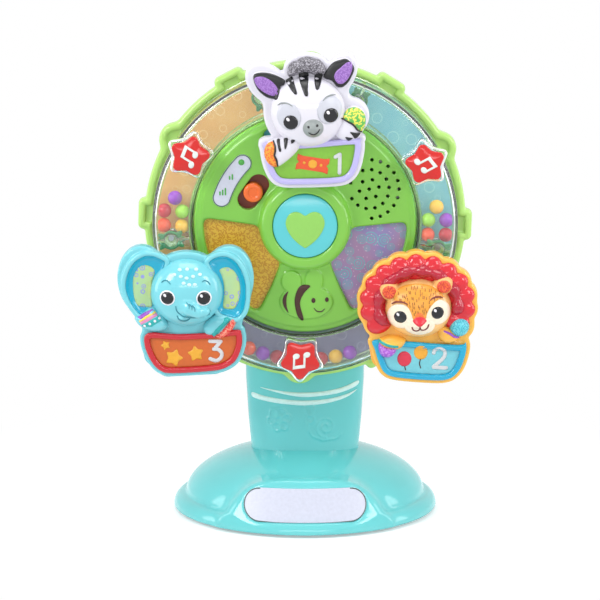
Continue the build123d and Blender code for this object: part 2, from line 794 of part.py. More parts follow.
def wheel_clear_cover():
    """The see-through channel cover, with star seats and gondola pin bosses."""
    shell = tube(channel_outer, channel_inner, web_front_y, cover_front_y)
    shell = fillet(shell.edges().group_by(Axis.Y)[0], cover_wall * 0.6)
    shell -= tube(channel_outer - cover_wall, channel_inner + cover_wall, web_front_y + 1, channel_front_y)
    lip = tube(rim_radius - rim_width - snug_gap, channel_outer - cover_wall, web_front_y, web_front_y - 1.6)
    shell += lip
    for angle in divider_angles:
        shell += slab(divider(angle), web_front_y, channel_front_y - cover_wall / 2)
        x, z = polar(fitting_radius, angle)
        shell -= rod(screw_radius + snug_gap, web_front_y + 1, web_front_y - screw_length, x, z)
    for angle in star_angles:
        x, z = polar(fitting_radius, angle)
        shell += slab(Pos(x, z) * star(star_boss_radius, angle), cover_front_y + 0.5, star_seat_y)
        shell -= slab(Pos(x, z) * star(star_boss_radius - 2.4, angle), channel_front_y + 0.5,
                      star_seat_y + cover_wall)
    for angle in gondola_angles:
        x, z = polar(pivot_radius, angle)
        shell += rod(pin_boss_radius, web_front_y, pin_boss_y, x, z)
        shell -= rod(pin_radius + 0.01, pin_root_y, pin_boss_y - 1, x, z)
    return at_axle(shell)


pin_root_y = cover_front_y + 6.0


def channel_stickers():
    """Three coloured arcs on the ring, seen through the clear cover."""
    inner = channel_inner + cover_wall + 0.3
    outer = channel_outer - cover_wall - 0.3
    across = 2 * (channel_outer - channel_inner)
    arcs = []
    for angle in star_angles:
        band = Circle(outer) - Circle(inner)
        reach = 2 * channel_outer
        corners = [(0, 0)] + [polar(reach, angle + step) for step in (-59.4, -20.0, 20.0, 59.4)]
        arc = band & make_face(Polyline(corners, close=True))
        for other in divider_angles:
            x, z = polar(fitting_radius, other)
            wall = Rot(0, 0, other) * Pos(channel_middle, 0) * Rectangle(across, divider_thickness + 0.6)
            arc -= wall
            arc -= Pos(x, z) * Circle(post_radius + 0.3)
        for other in gondola_angles:
            x, z = polar(pivot_radius, other)
            arc -= Pos(x, z) * Circle(pin_boss_radius + 0.3)
        arcs.append(slab(arc, web_front_y, web_front_y - sticker_thickness))
    solids = [solid for arc in arcs for solid in arc.solids()]
    return at_axle(group(solids))


def star_badges():
    """Rounded red stars on the clear star seats."""
    stars = []
    for angle in star_angles:
        x, z = polar(fitting_radius, angle)
        body = slab(Pos(x, z) * star(star_radius, angle), star_seat_y, badge_front_y)
        stars.append(fillet(body.edges().group_by(Axis.Y)[0], badge_thickness * 0.4))
    return at_axle(group(stars))


def note(angle):
    """A pair of joined music notes, with the beam towards the wheel's edge."""
    head_x, head_z = 3.1, -3.4
    shape = Pos(0, 0) * Circle(0.01)
    beam = make_face(Polyline([(-3.0, 2.8), (4.6, 4.2), (4.6, 6.2), (-3.0, 4.8)], close=True))
    stems = Pos(-2.35, 0.3) * Rectangle(1.3, 7.4) + Pos(3.95, 1.6) * Rectangle(1.3, 7.4)
    heads = oval(-head_x - 0.6, head_z, 2.2, 1.8, 20) + oval(head_x - 0.4, head_z + 1.2, 2.2, 1.8, 20)
    shape = beam + stems + heads
    x, z = polar(fitting_radius, angle)
    return Pos(x, z) * Rot(0, 0, angle - 90.0) * shape


def star_notes():
    return at_axle(group([slab(note(angle), badge_front_y, badge_front_y - note_thickness)
                          for angle in star_angles]))


def leaf_sprigs():
    """Leafy green clips round the six screw posts, inside the clear channel."""
    sprigs = []
    across = 2 * (channel_outer - channel_inner)
    back = channel_front_y + 2.4
    for angle in divider_angles:
        collar = Circle(post_radius + 2.0)
        leaves = collar
        for side in (-1, 1):
            leaves += oval(side * 6.0, 0.0, 3.6, 1.7, 0)
            leaves += oval(side * 4.6, 2.6, 3.0, 1.3, side * 40)
            leaves += oval(side * 4.6, -2.6, 3.0, 1.3, -side * 40)
        x, z = polar(fitting_radius, angle)
        shape = Rot(0, 0, angle) * Pos(fitting_radius - 0.5, 0) * leaves
        shape -= Pos(x, z) * Circle(post_radius + 0.1)
        shape -= Rot(0, 0, angle) * Pos(channel_middle, 0) * Rectangle(across, divider_thickness + 0.2)
        shape &= Circle(channel_outer - cover_wall - 0.2) - Circle(channel_inner + cover_wall + 0.2)
        sprigs += slab(shape, back, back - 1.6).solids()
    return at_axle(group(sprigs))


def wheel_screws():
    screws = []
    for angle in divider_angles:
        x, z = polar(fitting_radius, angle)
        head = rod(screw_head_radius, wheel_back_y - 0.1, wheel_back_y - screw_head_height, x, z)
        shank = rod(screw_radius, wheel_back_y - screw_head_height, web_front_y - screw_length + 0.5, x, z)
        screws.append(head + shank)
    return at_axle(group(screws))


def gondola_pins():
    """Pins pressed into the cover's bosses, each with a snap head inside its gondola."""
    pins = []
    head_back = gondola_back_y - gondola_back_wall - bush_height - 0.2
    for angle in gondola_angles:
        x, z = polar(pivot_radius, angle)
        pins.append(rod(pin_radius, pin_root_y, head_back, x, z)
                    + rod(pin_head_radius, head_back, head_back - pin_head_height, x, z))
    return at_axle(group(pins))


# Beads

bead_y = (web_front_y + channel_front_y) / 2
outer_row = channel_outer - cover_wall - bead_radius - 0.5
inner_row = channel_inner + cover_wall + bead_radius + 0.6
bead_step_outer = degrees(2 * asin((bead_radius + bead_gap) / outer_row))
bead_step_inner = degrees(2 * asin((bead_radius + bead_gap) / inner_row))


def bead_heap(angle_from, side):
    """Five beads heaped on a divider: two rows of two, and one on top."""
    first_outer = angle_from + side * degrees(asin((post_radius + bead_radius + bead_gap) / outer_row))
    first_inner = angle_from + side * degrees(asin((bead_radius + 1.0) / inner_row))
    places = [(outer_row, first_outer + side * i * bead_step_outer) for i in range(2)]
    places += [(inner_row, first_inner + side * (i * bead_step_inner + 0.8)) for i in range(2)]
    top_radius = (outer_row + inner_row) / 2
    places.append((top_radius, first_outer + side * (bead_step_outer + 5.9)))
    return places


bottom_bead_count = 8
bottom_row_middle = 267.5


def bead_places():
    left = bead_heap(star_angles[0] + divider_half_angle, -1)
    right = bead_heap(star_angles[1] - divider_half_angle, 1)
    half = (bottom_bead_count - 1) / 2
    bottom = [(outer_row, bottom_row_middle + (i - half) * bead_step_outer) for i in range(bottom_bead_count)]
    return {"beads_left": left, "beads_right": right, "beads_bottom": bottom}


def beads(places):
    balls = []
    for radius, angle in places:
        x, z = polar(radius, angle)
        balls.append(Pos(x, bead_y, z) * Sphere(bead_radius))
    return at_axle(group(balls))


# Gondolas


zebra_basket_points = [(-22.6, -32.5), (28.6, -28.6), (25.6, -46.4), (17.6, -49.6), (-13.6, -50.6), (-18.0, -46.0)]
lion_basket_points = [(-24.4, -27.6), (22.8, -28.6), (17.2, -42.6), (11.0, -44.6), (-17.0, -42.4), (-23.0, -36.0)]
elephant_basket_points = [(-17.6, -29.8), (32.4, -27.8), (27.4, -41.0), (20.6, -45.2), (-8.0, -46.8), (-15.6, -40.0)]
basket_rounding = 4.4
arm_depth = 6.5


def basket_hull(points, growth):
    return hull(points, basket_rounding + growth)


def zebra_plaque(growth):
    shape = oval(0.8, -9.9, 24.6 + growth, 23.4 + growth)
    shape += oval(-23.6, 7.2, 15.4 + growth, 9.2 + growth, -40.0)
    shape += oval(21.2, 14.6, 12.8 + growth, 7.4 + growth, 62.0)
    shape += oval(0.6, 17.6, 12.4 + growth, 8.4 + growth)
    shape += oval(26.6, -13.0, 9.0 + growth, 8.6 + growth)
    shape += basket_hull(zebra_basket_points, growth)
    return shape


def lion_lobes(radius_x, radius_z, lobe, count=13):
    """Round curls set along an oval, from the left paw over the top to the right paw."""
    shape = oval(-1.6, -1.6, radius_x, radius_z)
    first, last = 212.0, -28.0
    for i in range(count):
        angle = first + (last - first) * i / (count - 1)
        x = -1.6 + radius_x * cos(radians(angle))
        z = -1.6 + radius_z * sin(radians(angle))
        shape += Pos(x, z) * Circle(lobe)
    return shape


def lion_plaque(growth):
    shape = lion_lobes(27.6, 22.8, 7.4 + growth)
    shape += basket_hull(lion_basket_points, growth)
    shape += oval(23.8, -15.6, 7.2 + growth, 7.0 + growth)
    return shape


def elephant_plaque(growth):
    shape = oval(3.9, 1.4, 23.0 + growth, 21.4 + growth)
    shape += oval(-22.6, 7.2, 13.4 + growth, 19.4 + growth, 8.0)
    shape += oval(28.9, 6.8, 13.6 + growth, 19.6 + growth, -8.0)
    shape += hull([(-16.0, -14.0), (29.0, -16.0), (26.0, -26.0), (-13.0, -26.0)], 7.0 + growth)
    shape += basket_hull(elephant_basket_points, growth)
    return shape


def shells(plaque, pin):
    """Back and front shells of a gondola, closed round a shallow cavity, with its pin's bush."""
    outline = plaque(border)
    pocket = plaque(border - gondola_side_wall)
    back = slab(outline, gondola_back_y, gondola_split_y)
    back -= slab(pocket, gondola_back_y - gondola_back_wall, gondola_split_y - 1)
    bush_front = gondola_back_y - gondola_back_wall - bush_height
    back += rod(bush_radius, gondola_back_y - gondola_back_wall, bush_front, *pin)
    back -= rod(pin_radius + pin_clearance, gondola_back_y + 1, bush_front - 1, *pin)
    front = slab(outline, gondola_split_y, plaque_y)
    front -= slab(pocket, gondola_split_y + 1, plaque_y + gondola_front_wall)
    return back, front


def reach_out(outline, hollows, height):
    """A raised part of the plaque, with clean hollows where the head and arms stand."""
    shape = slab(outline, plaque_y, plaque_y - height)
    for x, z, half_width, half_height, turn in hollows:
        hollow = oval(x, z, half_width + 0.2, half_height + 0.2, turn)
        shape -= slab(hollow, plaque_y + 1.0, plaque_y - height - 1.0)
    return shape


def arm_caps(arms, depth):
    """The two arms, as rounded caps."""
    left, right = [cap(x, z, half_width, half_height, depth, plaque_y, turn)
                   for x, z, half_width, half_height, turn in arms]
    return left + right


def face_cap(face, depth):
    """The hollow, bulging face."""
    x, z, half_width, half_height, turn = face
    hollow = cap(x, z, half_width - face_wall, half_height - face_wall, depth - face_wall, plaque_y, turn)
    return cap(x, z, half_width, half_height, depth, plaque_y, turn) - hollow


def zebra_pieces():
    face = face_cap(zebra_face, 13.0)
    muzzle = cap(3.9, -20.8, 7.0, 6.2, 16.5, plaque_y) - cap(*zebra_face[:4], 12.0, plaque_y)
    mane = cap(0.6, 17.4, 12.2, 7.8, 6.0, plaque_y) - cap(*zebra_face[:4], 12.0, plaque_y)
    ears = cap(-24.2, 7.4, 13.4, 7.0, 4.0, plaque_y, -40.0)
    ears += cap(21.4, 15.0, 11.6, 6.4, 4.0, plaque_y, 62.0)
    ears = ears - cap(*zebra_face[:4], 13.0, plaque_y) - mane
    return face + muzzle + mane, ears, arm_caps(zebra_arms, arm_depth) - cap(*zebra_face[:4], 13.0, plaque_y)


def lion_pieces():
    head = face_cap(lion_face, 14.0)
    hollow = cap(*lion_face[:4], 13.0, plaque_y)
    for x, z in ((-19.3, 7.3), (14.4, 11.0)):
        head += cap(x, z, 5.4, 5.4, 9.0, plaque_y) - hollow
    mane = slab(lion_lobes(27.0, 22.2, 6.6), plaque_y, plaque_y - 3.4)
    mane += cap(-1.6, -1.6, 29.0, 24.4, 8.0, plaque_y)
    arms = arm_caps(lion_arms, arm_depth + 1.0)
    solid_head = cap(*lion_face[:4], 14.0, plaque_y)
    mane -= slab(basket_hull(lion_basket_points, 0.6), plaque_y + 1.0, plaque_y - 10.0)
    mane = mane - solid_head - head - arms
    return head, mane, arms - solid_head


def elephant_pieces():
    face = face_cap(elephant_face, 14.0)
    trunk = cap(9.6, -7.6, 10.6, 5.4, 17.6, plaque_y, -10.0) - cap(*elephant_face[:4], 13.0, plaque_y)
    ears = cap(-23.0, 7.2, 12.6, 18.4, 4.6, plaque_y, 8.0) + cap(29.3, 6.8, 12.8, 18.6, 4.6, plaque_y, -8.0)
    solid_face = cap(*elephant_face[:4], 14.0, plaque_y)
    ears -= solid_face
    return face + trunk, ears, arm_caps(elephant_arms, arm_depth) - solid_face - ears


# The artwork's place from each pin: its centre of mass hangs under the pin
zebra_hang = (-1.9, 1.7)
lion_hang = (1.3, -0.9)
elephant_hang = (-4.5, -0.8)
zebra_face = (0.8, -9.9, 23.1, 22.0, 0.0)
lion_face = (-1.0, -4.0, 21.0, 18.7, 0.0)
elephant_face = (3.9, 0.6, 22.5, 21.2, 0.0)
zebra_arms = [(-17.0, -34.0, 10.6, 6.6, 12.0), (25.8, -13.6, 8.6, 7.8, -20.0)]
lion_arms = [(-20.5, -28.6, 7.4, 6.2, 30.0), (24.2, -15.2, 6.4, 6.8, 0.0)]
face_wall = 2.2
elephant_arms = [(-17.6, -17.6, 9.4, 5.6, -38.0), (27.0, -20.0, 9.6, 5.4, 38.0)]


def gondola(name, angle, hang, plaque, pieces, points, face, arm_places, ear_name):
    """All the pieces of one gondola, hung on its pin. The artwork's own zero lies at hang from the pin."""
    x, z = polar(pivot_radius, angle)
    place = Pos(x + hang[0], 0, axle_height + z + hang[1])
    back, front = shells(plaque, (-hang[0], -hang[1]))
    head, ears, arms = pieces()
    outer = basket_hull(points, 0.4)
    inner = basket_hull(points, 0.4 - frame_width)
    hollows = [face] + arm_places
    named = {
        "back_shell": back,
        "front_shell": front,
        "head": head,
        ear_name: ears,
        "arms": arms,
        "basket": reach_out(outer - inner, hollows, frame_height),
        "panel": reach_out(inner, hollows, panel_thickness),
    }
    for label, shape in named.items():
        save(name + "_" + label, place * shape)


def main():
    save("base_shell", base_shell())
    save("base_bottom_plate", base_bottom_plate())
    save("suction_cup", suction_cup())
    save("cup_retainer", cup_retainer())
    save("base_screws", base_screws())
    save("base_label", base_label())
    front, back = column_halves()
    save("column_front", front)
    save("column_back", back)
    save("back_housing", back_housing())
    save("battery_door", battery_door())
    save("battery_door_screw", battery_door_screw())
    save("batteries", batteries())
    save("battery_contacts", battery_contacts())
    save("spindle", spindle())
    save("hub_screws", hub_screws())
    save("hub_front", hub_front())
    save("left_sticker", sticker(left_window))
    save("right_sticker", sticker(right_window))
    save("top_sticker", sticker(top_window))
    save("switch_label", switch_label())
    save("switch_knob", switch_knob())
    save("slide_switch", slide_switch())
    save("speaker", speaker())
    save("circuit_board", circuit_board())
    save("button_cushion", button_cushion())
    save("heart_button", heart_button())
    save("heart_lens", heart_lens())
    save("wheel_back_ring", wheel_back_ring())
    save("wheel_clear_cover", wheel_clear_cover())
    save("channel_stickers", channel_stickers())
    save("star_badges", star_badges())
    save("star_notes", star_notes())
    save("leaf_sprigs", leaf_sprigs())
    save("wheel_screws", wheel_screws())
    save("gondola_pins", gondola_pins())
    for name, places in bead_places().items():
        save(name, beads(places))
    gondola("zebra", zebra_angle, zebra_hang, zebra_plaque, zebra_pieces, zebra_basket_points,
            zebra_face, zebra_arms, "ears")
    gondola("lion", lion_angle, lion_hang, lion_plaque, lion_pieces, lion_basket_points,
            lion_face, lion_arms, "mane")
    gondola("elephant", elephant_angle, elephant_hang, elephant_plaque, elephant_pieces, elephant_basket_points,
            elephant_face, elephant_arms, "ears")


main()
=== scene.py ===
# %% [markdown]
# # A baby's tabletop spinning wheel, dressed for a picture
# The frame is the measured model: every piece made here is set on it in the same
# millimetres, so nothing has to be fitted by eye. First the frame is loaded.

# %% Load the frame
import math

import bmesh
import bpy
import numpy as np
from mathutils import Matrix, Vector
from mathutils.geometry import delaunay_2d_cdt


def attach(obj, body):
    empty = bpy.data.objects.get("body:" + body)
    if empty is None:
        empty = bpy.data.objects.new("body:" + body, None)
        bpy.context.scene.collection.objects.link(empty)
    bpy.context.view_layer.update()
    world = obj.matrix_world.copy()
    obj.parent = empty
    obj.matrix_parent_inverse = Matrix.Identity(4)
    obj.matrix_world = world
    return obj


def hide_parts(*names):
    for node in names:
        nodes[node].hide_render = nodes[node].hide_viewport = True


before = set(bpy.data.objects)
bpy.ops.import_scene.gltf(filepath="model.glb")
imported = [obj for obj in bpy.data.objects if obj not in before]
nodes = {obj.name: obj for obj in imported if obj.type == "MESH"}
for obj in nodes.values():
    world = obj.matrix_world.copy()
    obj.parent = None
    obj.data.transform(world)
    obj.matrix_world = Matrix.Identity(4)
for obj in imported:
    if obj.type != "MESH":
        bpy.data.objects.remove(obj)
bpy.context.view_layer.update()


def smooth(mesh):
    mesh.polygons.foreach_set("use_smooth", [True] * len(mesh.polygons))


for node in nodes.values():
    smooth(node.data)

# %% [markdown]
# ## Sizes
# The sizes below repeat the model's own: heights of the faces along Y, from the
# wheel's back to the gondolas' front, and the radii round the axle. The front is -Y.

# %% Sizes in millimetres
MM = 0.001
AXLE_Z = 192.0
AXLE = (0.0, AXLE_Z)
TILT = -2.0                    # degrees: how far the wheel is turned at rest
WEB_BACK, WEB_FRONT = -21.0, -26.0
RIM_FRONT = -29.0
RIM_RADIUS = 100.8
CHANNEL_IN, CHANNEL_OUT = 70.0, 95.4
CHANNEL_WALL = 2.0
CHANNEL_FRONT = -46.0
COVER_FRONT = -48.0
STAR_SEAT = -54.0
BADGE_FRONT = -56.0
FITTING_RADIUS = 84.4          # stars and screw posts
PIN_RADIUS = 82.7              # gondola pins
SPLIT = -61.5                  # between a gondola's back and front shells
PLAQUE = -66.0                 # the flat front of a gondola
HUB_RADIUS = 69.3
HUB_PLATE, HUB_FLOOR = -37.7, -40.2
LOBE_FRONT = -44.2
POST_TURN = 39.0               # degrees from a star to the posts beside it
STARS = [a + TILT for a in (150, 30, 270)]
POSTS = [a + side * POST_TURN for a in STARS for side in (-1, 1)]
STEP = 0.55
print("wheel", 2 * RIM_RADIUS, "mm across, grid step", STEP, "mm")

# %% [markdown]
# ## Points on circles
# Much of a wheel is said in a radius and an angle. Angles are in degrees and run
# anticlockwise in the plane of X and Z, as seen from the front.

# %% Turn and move points
def polar(radius, degrees):
    return radius * math.cos(math.radians(degrees)), radius * math.sin(math.radians(degrees))


def spin(u, v, degrees):
    """Turns a point, or a grid of them, about the origin."""
    c, s = math.cos(math.radians(degrees)), math.sin(math.radians(degrees))
    return u * c - v * s, u * s + v * c


def laid(points, cx, cz, degrees=0.0):
    """Points turned about the origin and then moved by (cx, cz)."""
    return [(cx + u, cz + v) for u, v in (spin(p[0], p[1], degrees) for p in points)]


print("a star at", laid([(FITTING_RADIUS, 0.0)], *AXLE, STARS[0]))

# %% [markdown]
# ## Shapes as distance fields
# Moulded toys are made of soft forms that melt into each other. Such forms are easy
# to say as a distance: negative inside the plastic, positive outside. Two forms
# join with a fillet by a soft minimum, and a hollow is a soft maximum.

# %% Flat and round distances
TINY = 1e-3                    # keeps a division away from zero


def oval(x, z, cx, cz, half_x, half_z, turn=0.0):
    """Distance to an ellipse in X and Z."""
    u, v = spin(x - cx, z - cz, -turn)
    near = np.maximum(np.hypot(u / half_x, v / half_z), TINY)
    slope = np.maximum(np.hypot(u / half_x ** 2, v / half_z ** 2), TINY / max(half_x, half_z))
    return near * (near - 1) / slope


def egg(x, y, z, cx, cz, half_x, half_z, depth, turn=0.0):
    """Distance to an ellipsoid that is centred on a gondola's flat front."""
    u, v = spin(x - cx, z - cz, -turn)
    w = y - PLAQUE
    near = np.maximum(np.sqrt((u / half_x) ** 2 + (v / half_z) ** 2 + (w / depth) ** 2), TINY)
    slope = np.sqrt((u / half_x ** 2) ** 2 + (v / half_z ** 2) ** 2 + (w / depth ** 2) ** 2)
    return near * (near - 1) / np.maximum(slope, TINY / max(half_x, half_z, depth))


# %% Distances to outlines and lines
def polygon(x, z, points):
    """Distance to a closed outline of straight sides."""
    nearest, sign = 1e9, 1.0
    for (ax, az), (bx, bz) in zip(points, points[-1:] + points[:-1]):
        ex, ez, wx, wz = bx - ax, bz - az, x - ax, z - az
        t = np.clip((wx * ex + wz * ez) / (ex * ex + ez * ez), 0, 1)
        nearest = np.minimum(nearest, (wx - ex * t) ** 2 + (wz - ez * t) ** 2)
        up, down, left = z >= az, z < bz, ex * wz > ez * wx
        sign = np.where((up & down & left) | (~up & ~down & ~left), -sign, sign)
    return sign * np.sqrt(nearest)


def near_line(x, z, points):
    """Distance to an open line of straight runs."""
    nearest = 1e9
    for (ax, az), (bx, bz) in zip(points, points[1:]):
        ex, ez = bx - ax, bz - az
        t = np.clip(((x - ax) * ex + (z - az) * ez) / (ex * ex + ez * ez), 0, 1)
        nearest = np.minimum(nearest, np.hypot(x - ax - ex * t, z - az - ez * t))
    return nearest


# %% Joining, hollowing and thickening
def join(a, b, fillet=1.0):
    h = np.clip(0.5 + 0.5 * (b - a) / fillet, 0, 1)
    return b * (1 - h) + a * h - fillet * h * (1 - h)


def meet(a, b, fillet=1.0):
    return -join(-a, -b, fillet)


def carve(a, b, fillet=1.0):
    return meet(a, -b, fillet)


def union(*fields):
    out = fields[0]
    for field in fields[1:]:
        out = np.minimum(out, field)
    return out


def corner(a, b):
    """Distance to the region where both are negative, round its outer corner."""
    return np.minimum(np.maximum(a, b), 0) + np.hypot(np.maximum(a, 0), np.maximum(b, 0))


def plate(flat, y, front, back, edge):
    """A flat shape given thickness along Y, with its edges rounded."""
    return corner(flat + edge, np.abs(y - (front + back) / 2) - (back - front) / 2 + edge) - edge


print("where two faces cross, a fillet of 2 mm fills", -join(0.0, 0.0, 2.0), "mm")

# %% [markdown]
# ## From a field to a mesh
# The field is sampled on a grid, and each grid cell that the surface passes through
# gets one vertex, at the middle of the crossings on its edges. Cells that share a
# crossed edge share a face. The mesh is all quads and as smooth as the field.

# %% Net a field
def net(field, low, high, step):
    """Vertices in millimetres and quads of the surface where the field is zero."""
    axes = [np.arange(a, b + step, step, dtype=np.float32) for a, b in zip(low, high)]
    x, y, z = np.meshgrid(*axes, indexing="ij", sparse=True)
    f = np.broadcast_to(field(x, y, z), [len(a) for a in axes]).astype(np.float32)
    inside = f < 0
    size = [n - 1 for n in f.shape]
    corners = [(i, j, k) for i in (0, 1) for j in (0, 1) for k in (0, 1)]
    count = sum(inside[i:i + size[0], j:j + size[1], k:k + size[2]].astype(np.int8) for i, j, k in corners)
    cells = np.argwhere((count > 0) & (count < len(corners)))
    index = np.full(size, -1, np.int32)
    index[tuple(cells.T)] = np.arange(len(cells))
    spot, hits = np.zeros((len(cells), 3)), np.zeros((len(cells), 1))
    for near in corners:
        for axis in range(3):
            if near[axis]:
                continue
            far = np.array(near)
            far[axis] = 1
            fa, fb = f[tuple((cells + near).T)], f[tuple((cells + far).T)]
            crossed = (fa < 0) != (fb < 0)
            place = (cells + near).astype(float)
            place[:, axis] += fa / np.where(crossed, fa - fb, 1)
            spot[crossed] += place[crossed]
            hits[crossed] += 1
    quads = []
    for axis in range(3):
        next_axis, last_axis = (axis + 1) % 3, (axis + 2) % 3
        u, v = np.eye(3, dtype=int)[[next_axis, last_axis]]
        first = np.take(inside, range(f.shape[axis] - 1), axis)
        edges = np.argwhere(first != np.take(inside, range(1, f.shape[axis]), axis))
        across, along = edges @ u, edges @ v
        edges = edges[(across > 0) & (along > 0) & (across < size[next_axis]) & (along < size[last_axis])]
        ring = np.stack([index[tuple((edges - back).T)] for back in (u + v, v, 0 * u, u)], 1)
        outward = first[tuple(edges.T)]
        quads.append(np.where(outward[:, None], ring, ring[:, ::-1]))
    return np.array(low) + spot / hits * step, np.concatenate(quads)


# %% Put meshes in the scene
def put(name, data):
    """An object for a mesh, a lamp or a camera, in the scene."""
    piece = bpy.data.objects.new(name, data)
    bpy.context.scene.collection.objects.link(piece)
    return piece


def make_mesh(name, body, vertices, faces, material, place=(0.0, 0.0)):
    """A smooth mesh object that rides on a body. place shifts it in X and Z."""
    shift = np.array([place[0], 0.0, place[1]])
    mesh = bpy.data.meshes.new(name)
    mesh.from_pydata(((np.asarray(vertices) + shift) * MM).tolist(), [], [list(f) for f in faces])
    smooth(mesh)
    mesh.materials.append(material)
    piece = put(name, mesh)
    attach(piece, body)
    return piece


def skin(name, body, field, low, high, material, place=(0.0, 0.0), step=STEP):
    vertices, quads = net(field, low, high, step)
    print(name, len(quads), "faces")
    return make_mesh(name, body, vertices, quads.tolist(), material, place)


# %% [markdown]
# ## Outlines
# Printed shapes and puffy parts are drawn as outlines. A few points are enough: a
# smooth line through them adds the rest, and a stroke gives an open line its width.

# %% Curves, discs and strokes
DISC_POINTS = 32
CAP_ANGLES = np.linspace(80, -80, 5)


def between(a, b, c, d, t):
    """A point of the smooth line from b to c, in a row of points a, b, c, d."""
    return 0.5 * (2 * b + (c - a) * t + (2 * a - 5 * b + 4 * c - d) * t ** 2
                  + (3 * b - a - 3 * c + d) * t ** 3)


def curve(points, per_side=6):
    """A closed smooth outline through the points."""
    p = np.array(points, float)
    t = np.linspace(0, 1, per_side, endpoint=False)[:, None]
    return np.concatenate([between(p[i - 1], p[i], p[(i + 1) % len(p)], p[(i + 2) % len(p)], t)
                           for i in range(len(p))])


def disc(cx, cz, half_x, half_z=None, turn=0.0):
    a = np.linspace(0, 2 * np.pi, DISC_POINTS, endpoint=False)
    u, v = spin(half_x * np.cos(a), (half_z or half_x) * np.sin(a), turn)
    return np.stack([cx + u, cz + v], 1)


# %% Strokes
def stroke(points, width, taper=0.0, smooth_line=True):
    """A closed outline round an open line. taper thins its ends."""
    p = np.array(points, float)
    if smooth_line:
        ends = np.concatenate([2 * p[:1] - p[1:2], p, 2 * p[-1:] - p[-2:-1]])
        dense = [between(a, b, c, d, t) for a, b, c, d in zip(ends, ends[1:], ends[2:], ends[3:])
                 for t in np.linspace(0, 1, 6, endpoint=False)]
        p = np.array(dense + [p[-1]])
    run = np.gradient(p, axis=0)
    run /= np.linalg.norm(run, axis=1)[:, None]
    side = np.stack([-run[:, 1], run[:, 0]], 1)
    half = width / 2 * (1 - taper * np.abs(np.linspace(-1, 1, len(p))) ** 2)[:, None]
    caps = []
    for end, away, reach in ((p[-1], run[-1], half[-1]), (p[0], -run[0], half[0])):
        sideways = np.array([-away[1], away[0]])
        caps.append([end + reach * (sideways * math.sin(math.radians(a)) + away * math.cos(math.radians(a)))
                     for a in CAP_ANGLES])
    return np.concatenate([p + side * half, caps[0], (p - side * half)[::-1], caps[1]])


# %% Fill an outline with triangles
def within(points, outline):
    x, z = points[:, 0], points[:, 1]
    inside = np.zeros(len(points), bool)
    for (ax, az), (bx, bz) in zip(outline, np.roll(outline, -1, 0)):
        if az != bz:
            inside ^= ((az > z) != (bz > z)) & (x < (bx - ax) * (z - az) / (bz - az) + ax)
    return inside


def fill(outline, spacing):
    """Points and triangles that fill a closed outline."""
    low, high = outline.min(0), outline.max(0)
    rows = [np.arange(a, b, spacing) for a, b in zip(low + 0.1, high)]
    grid = np.stack(np.meshgrid(*rows), -1).reshape(-1, 2)
    grid = grid[within(grid, outline)]
    if len(grid):
        gap = np.sqrt(((grid[:, None] - outline[None]) ** 2).sum(-1)).min(1)
        grid = grid[gap > spacing * 0.45]
    flat = [Vector(p) for p in np.concatenate([outline, grid])]
    filled = delaunay_2d_cdt(flat, [], [list(range(len(outline)))], 1, 1e-6)
    return np.array([tuple(p) for p in filled[0]]), [list(f) for f in filled[2]]


def anticlockwise(points, a, b, c):
    (ux, uz), (vx, vz) = points[b] - points[a], points[c] - points[a]
    return ux * vz - uz * vx > 0


print("a 10 mm disc is filled with", len(fill(disc(0.0, 0.0, 5.0), 1.3)[1]), "triangles")

# %% [markdown]
# ## Prints that lie on the plastic
# Eyes, stripes and numbers are printed on the toy. Each is a thin film with a crisp
# outline: the outline is filled with triangles, every vertex is dropped on the
# field's front, and the film gets a little thickness, which keeps it a closed mesh.

# %% Films of ink
FILM = 0.18                    # mm, drawn thicker than real ink so that it never sinks
FOREMOST = -92.0               # nothing on the toy comes further forward
STRIDE = 0.3


def front_of(field, points, back):
    """The Y at which each (x, z) first meets the field, coming from the front."""
    y = np.arange(FOREMOST, back, STRIDE)
    f = np.broadcast_to(field(points[:, :1], y[None, :], points[:, 1:]), (len(points), len(y)))
    first = np.maximum(np.argmax(f < 0, axis=1), 1)
    rows = np.arange(len(points))
    a, b = f[rows, first - 1], f[rows, first]
    return y[first - 1] + STRIDE * np.clip(a / np.where(a != b, a - b, 1), 0, 1)


def film(name, body, outlines, field, material, place=(0.0, 0.0), spacing=1.3, lift=1.0, back=-20.0):
    """Flat outlines laid on the front of a field. lift counts films under this one.

    Outlines that follow each other lie at slightly different heights, so they may overlap.
    """
    vertices, faces = [], []
    for number, outline in enumerate(outlines):
        points, triangles = fill(np.asarray(outline, float), spacing)
        raised = FILM * (lift + 0.15 * (number % 4))
        top = front_of(field, points, back) - raised
        count, start = len(points), len(vertices)
        edges = {}
        for a, b, c in triangles:
            loop = (a, b, c) if anticlockwise(points, a, b, c) else (c, b, a)
            faces.append([start + i for i in loop])
            faces.append([start + count + i for i in loop[::-1]])
            for i, j in zip(loop, loop[1:] + loop[:1]):
                edges[i, j] = True
        for i, j in edges:
            if (j, i) not in edges:
                faces.append([start + j, start + i, start + count + i, start + count + j])
        vertices += [(x, y, z) for (x, z), y in zip(points, top)]
        vertices += [(x, y + raised + FILM, z) for (x, z), y in zip(points, top)]
    print(name, len(faces), "faces of ink")
    return make_mesh(name, body, vertices, faces, material, place)


# %% [markdown]
# ## Node materials
# A material is a chain of nodes. One helper adds a node: each input is given as a
# value, or as the node that feeds it. Colours are written as sRGB hex, as a paint
# chart gives them, and one function turns them to the shader's linear values.

# %% Node and colour helpers
def linear(code):
    parts = [int(code[i:i + 2], 16) / 255 for i in (0, 2, 4)]
    return tuple(c / 12.92 if c <= 0.04045 else ((c + 0.055) / 1.055) ** 2.4 for c in parts) + (1.0,)


def shade(code, gain):
    """The same hue, lighter or darker."""
    return tuple(min(c * gain, 1.0) for c in linear(code)[:3]) + (1.0,)


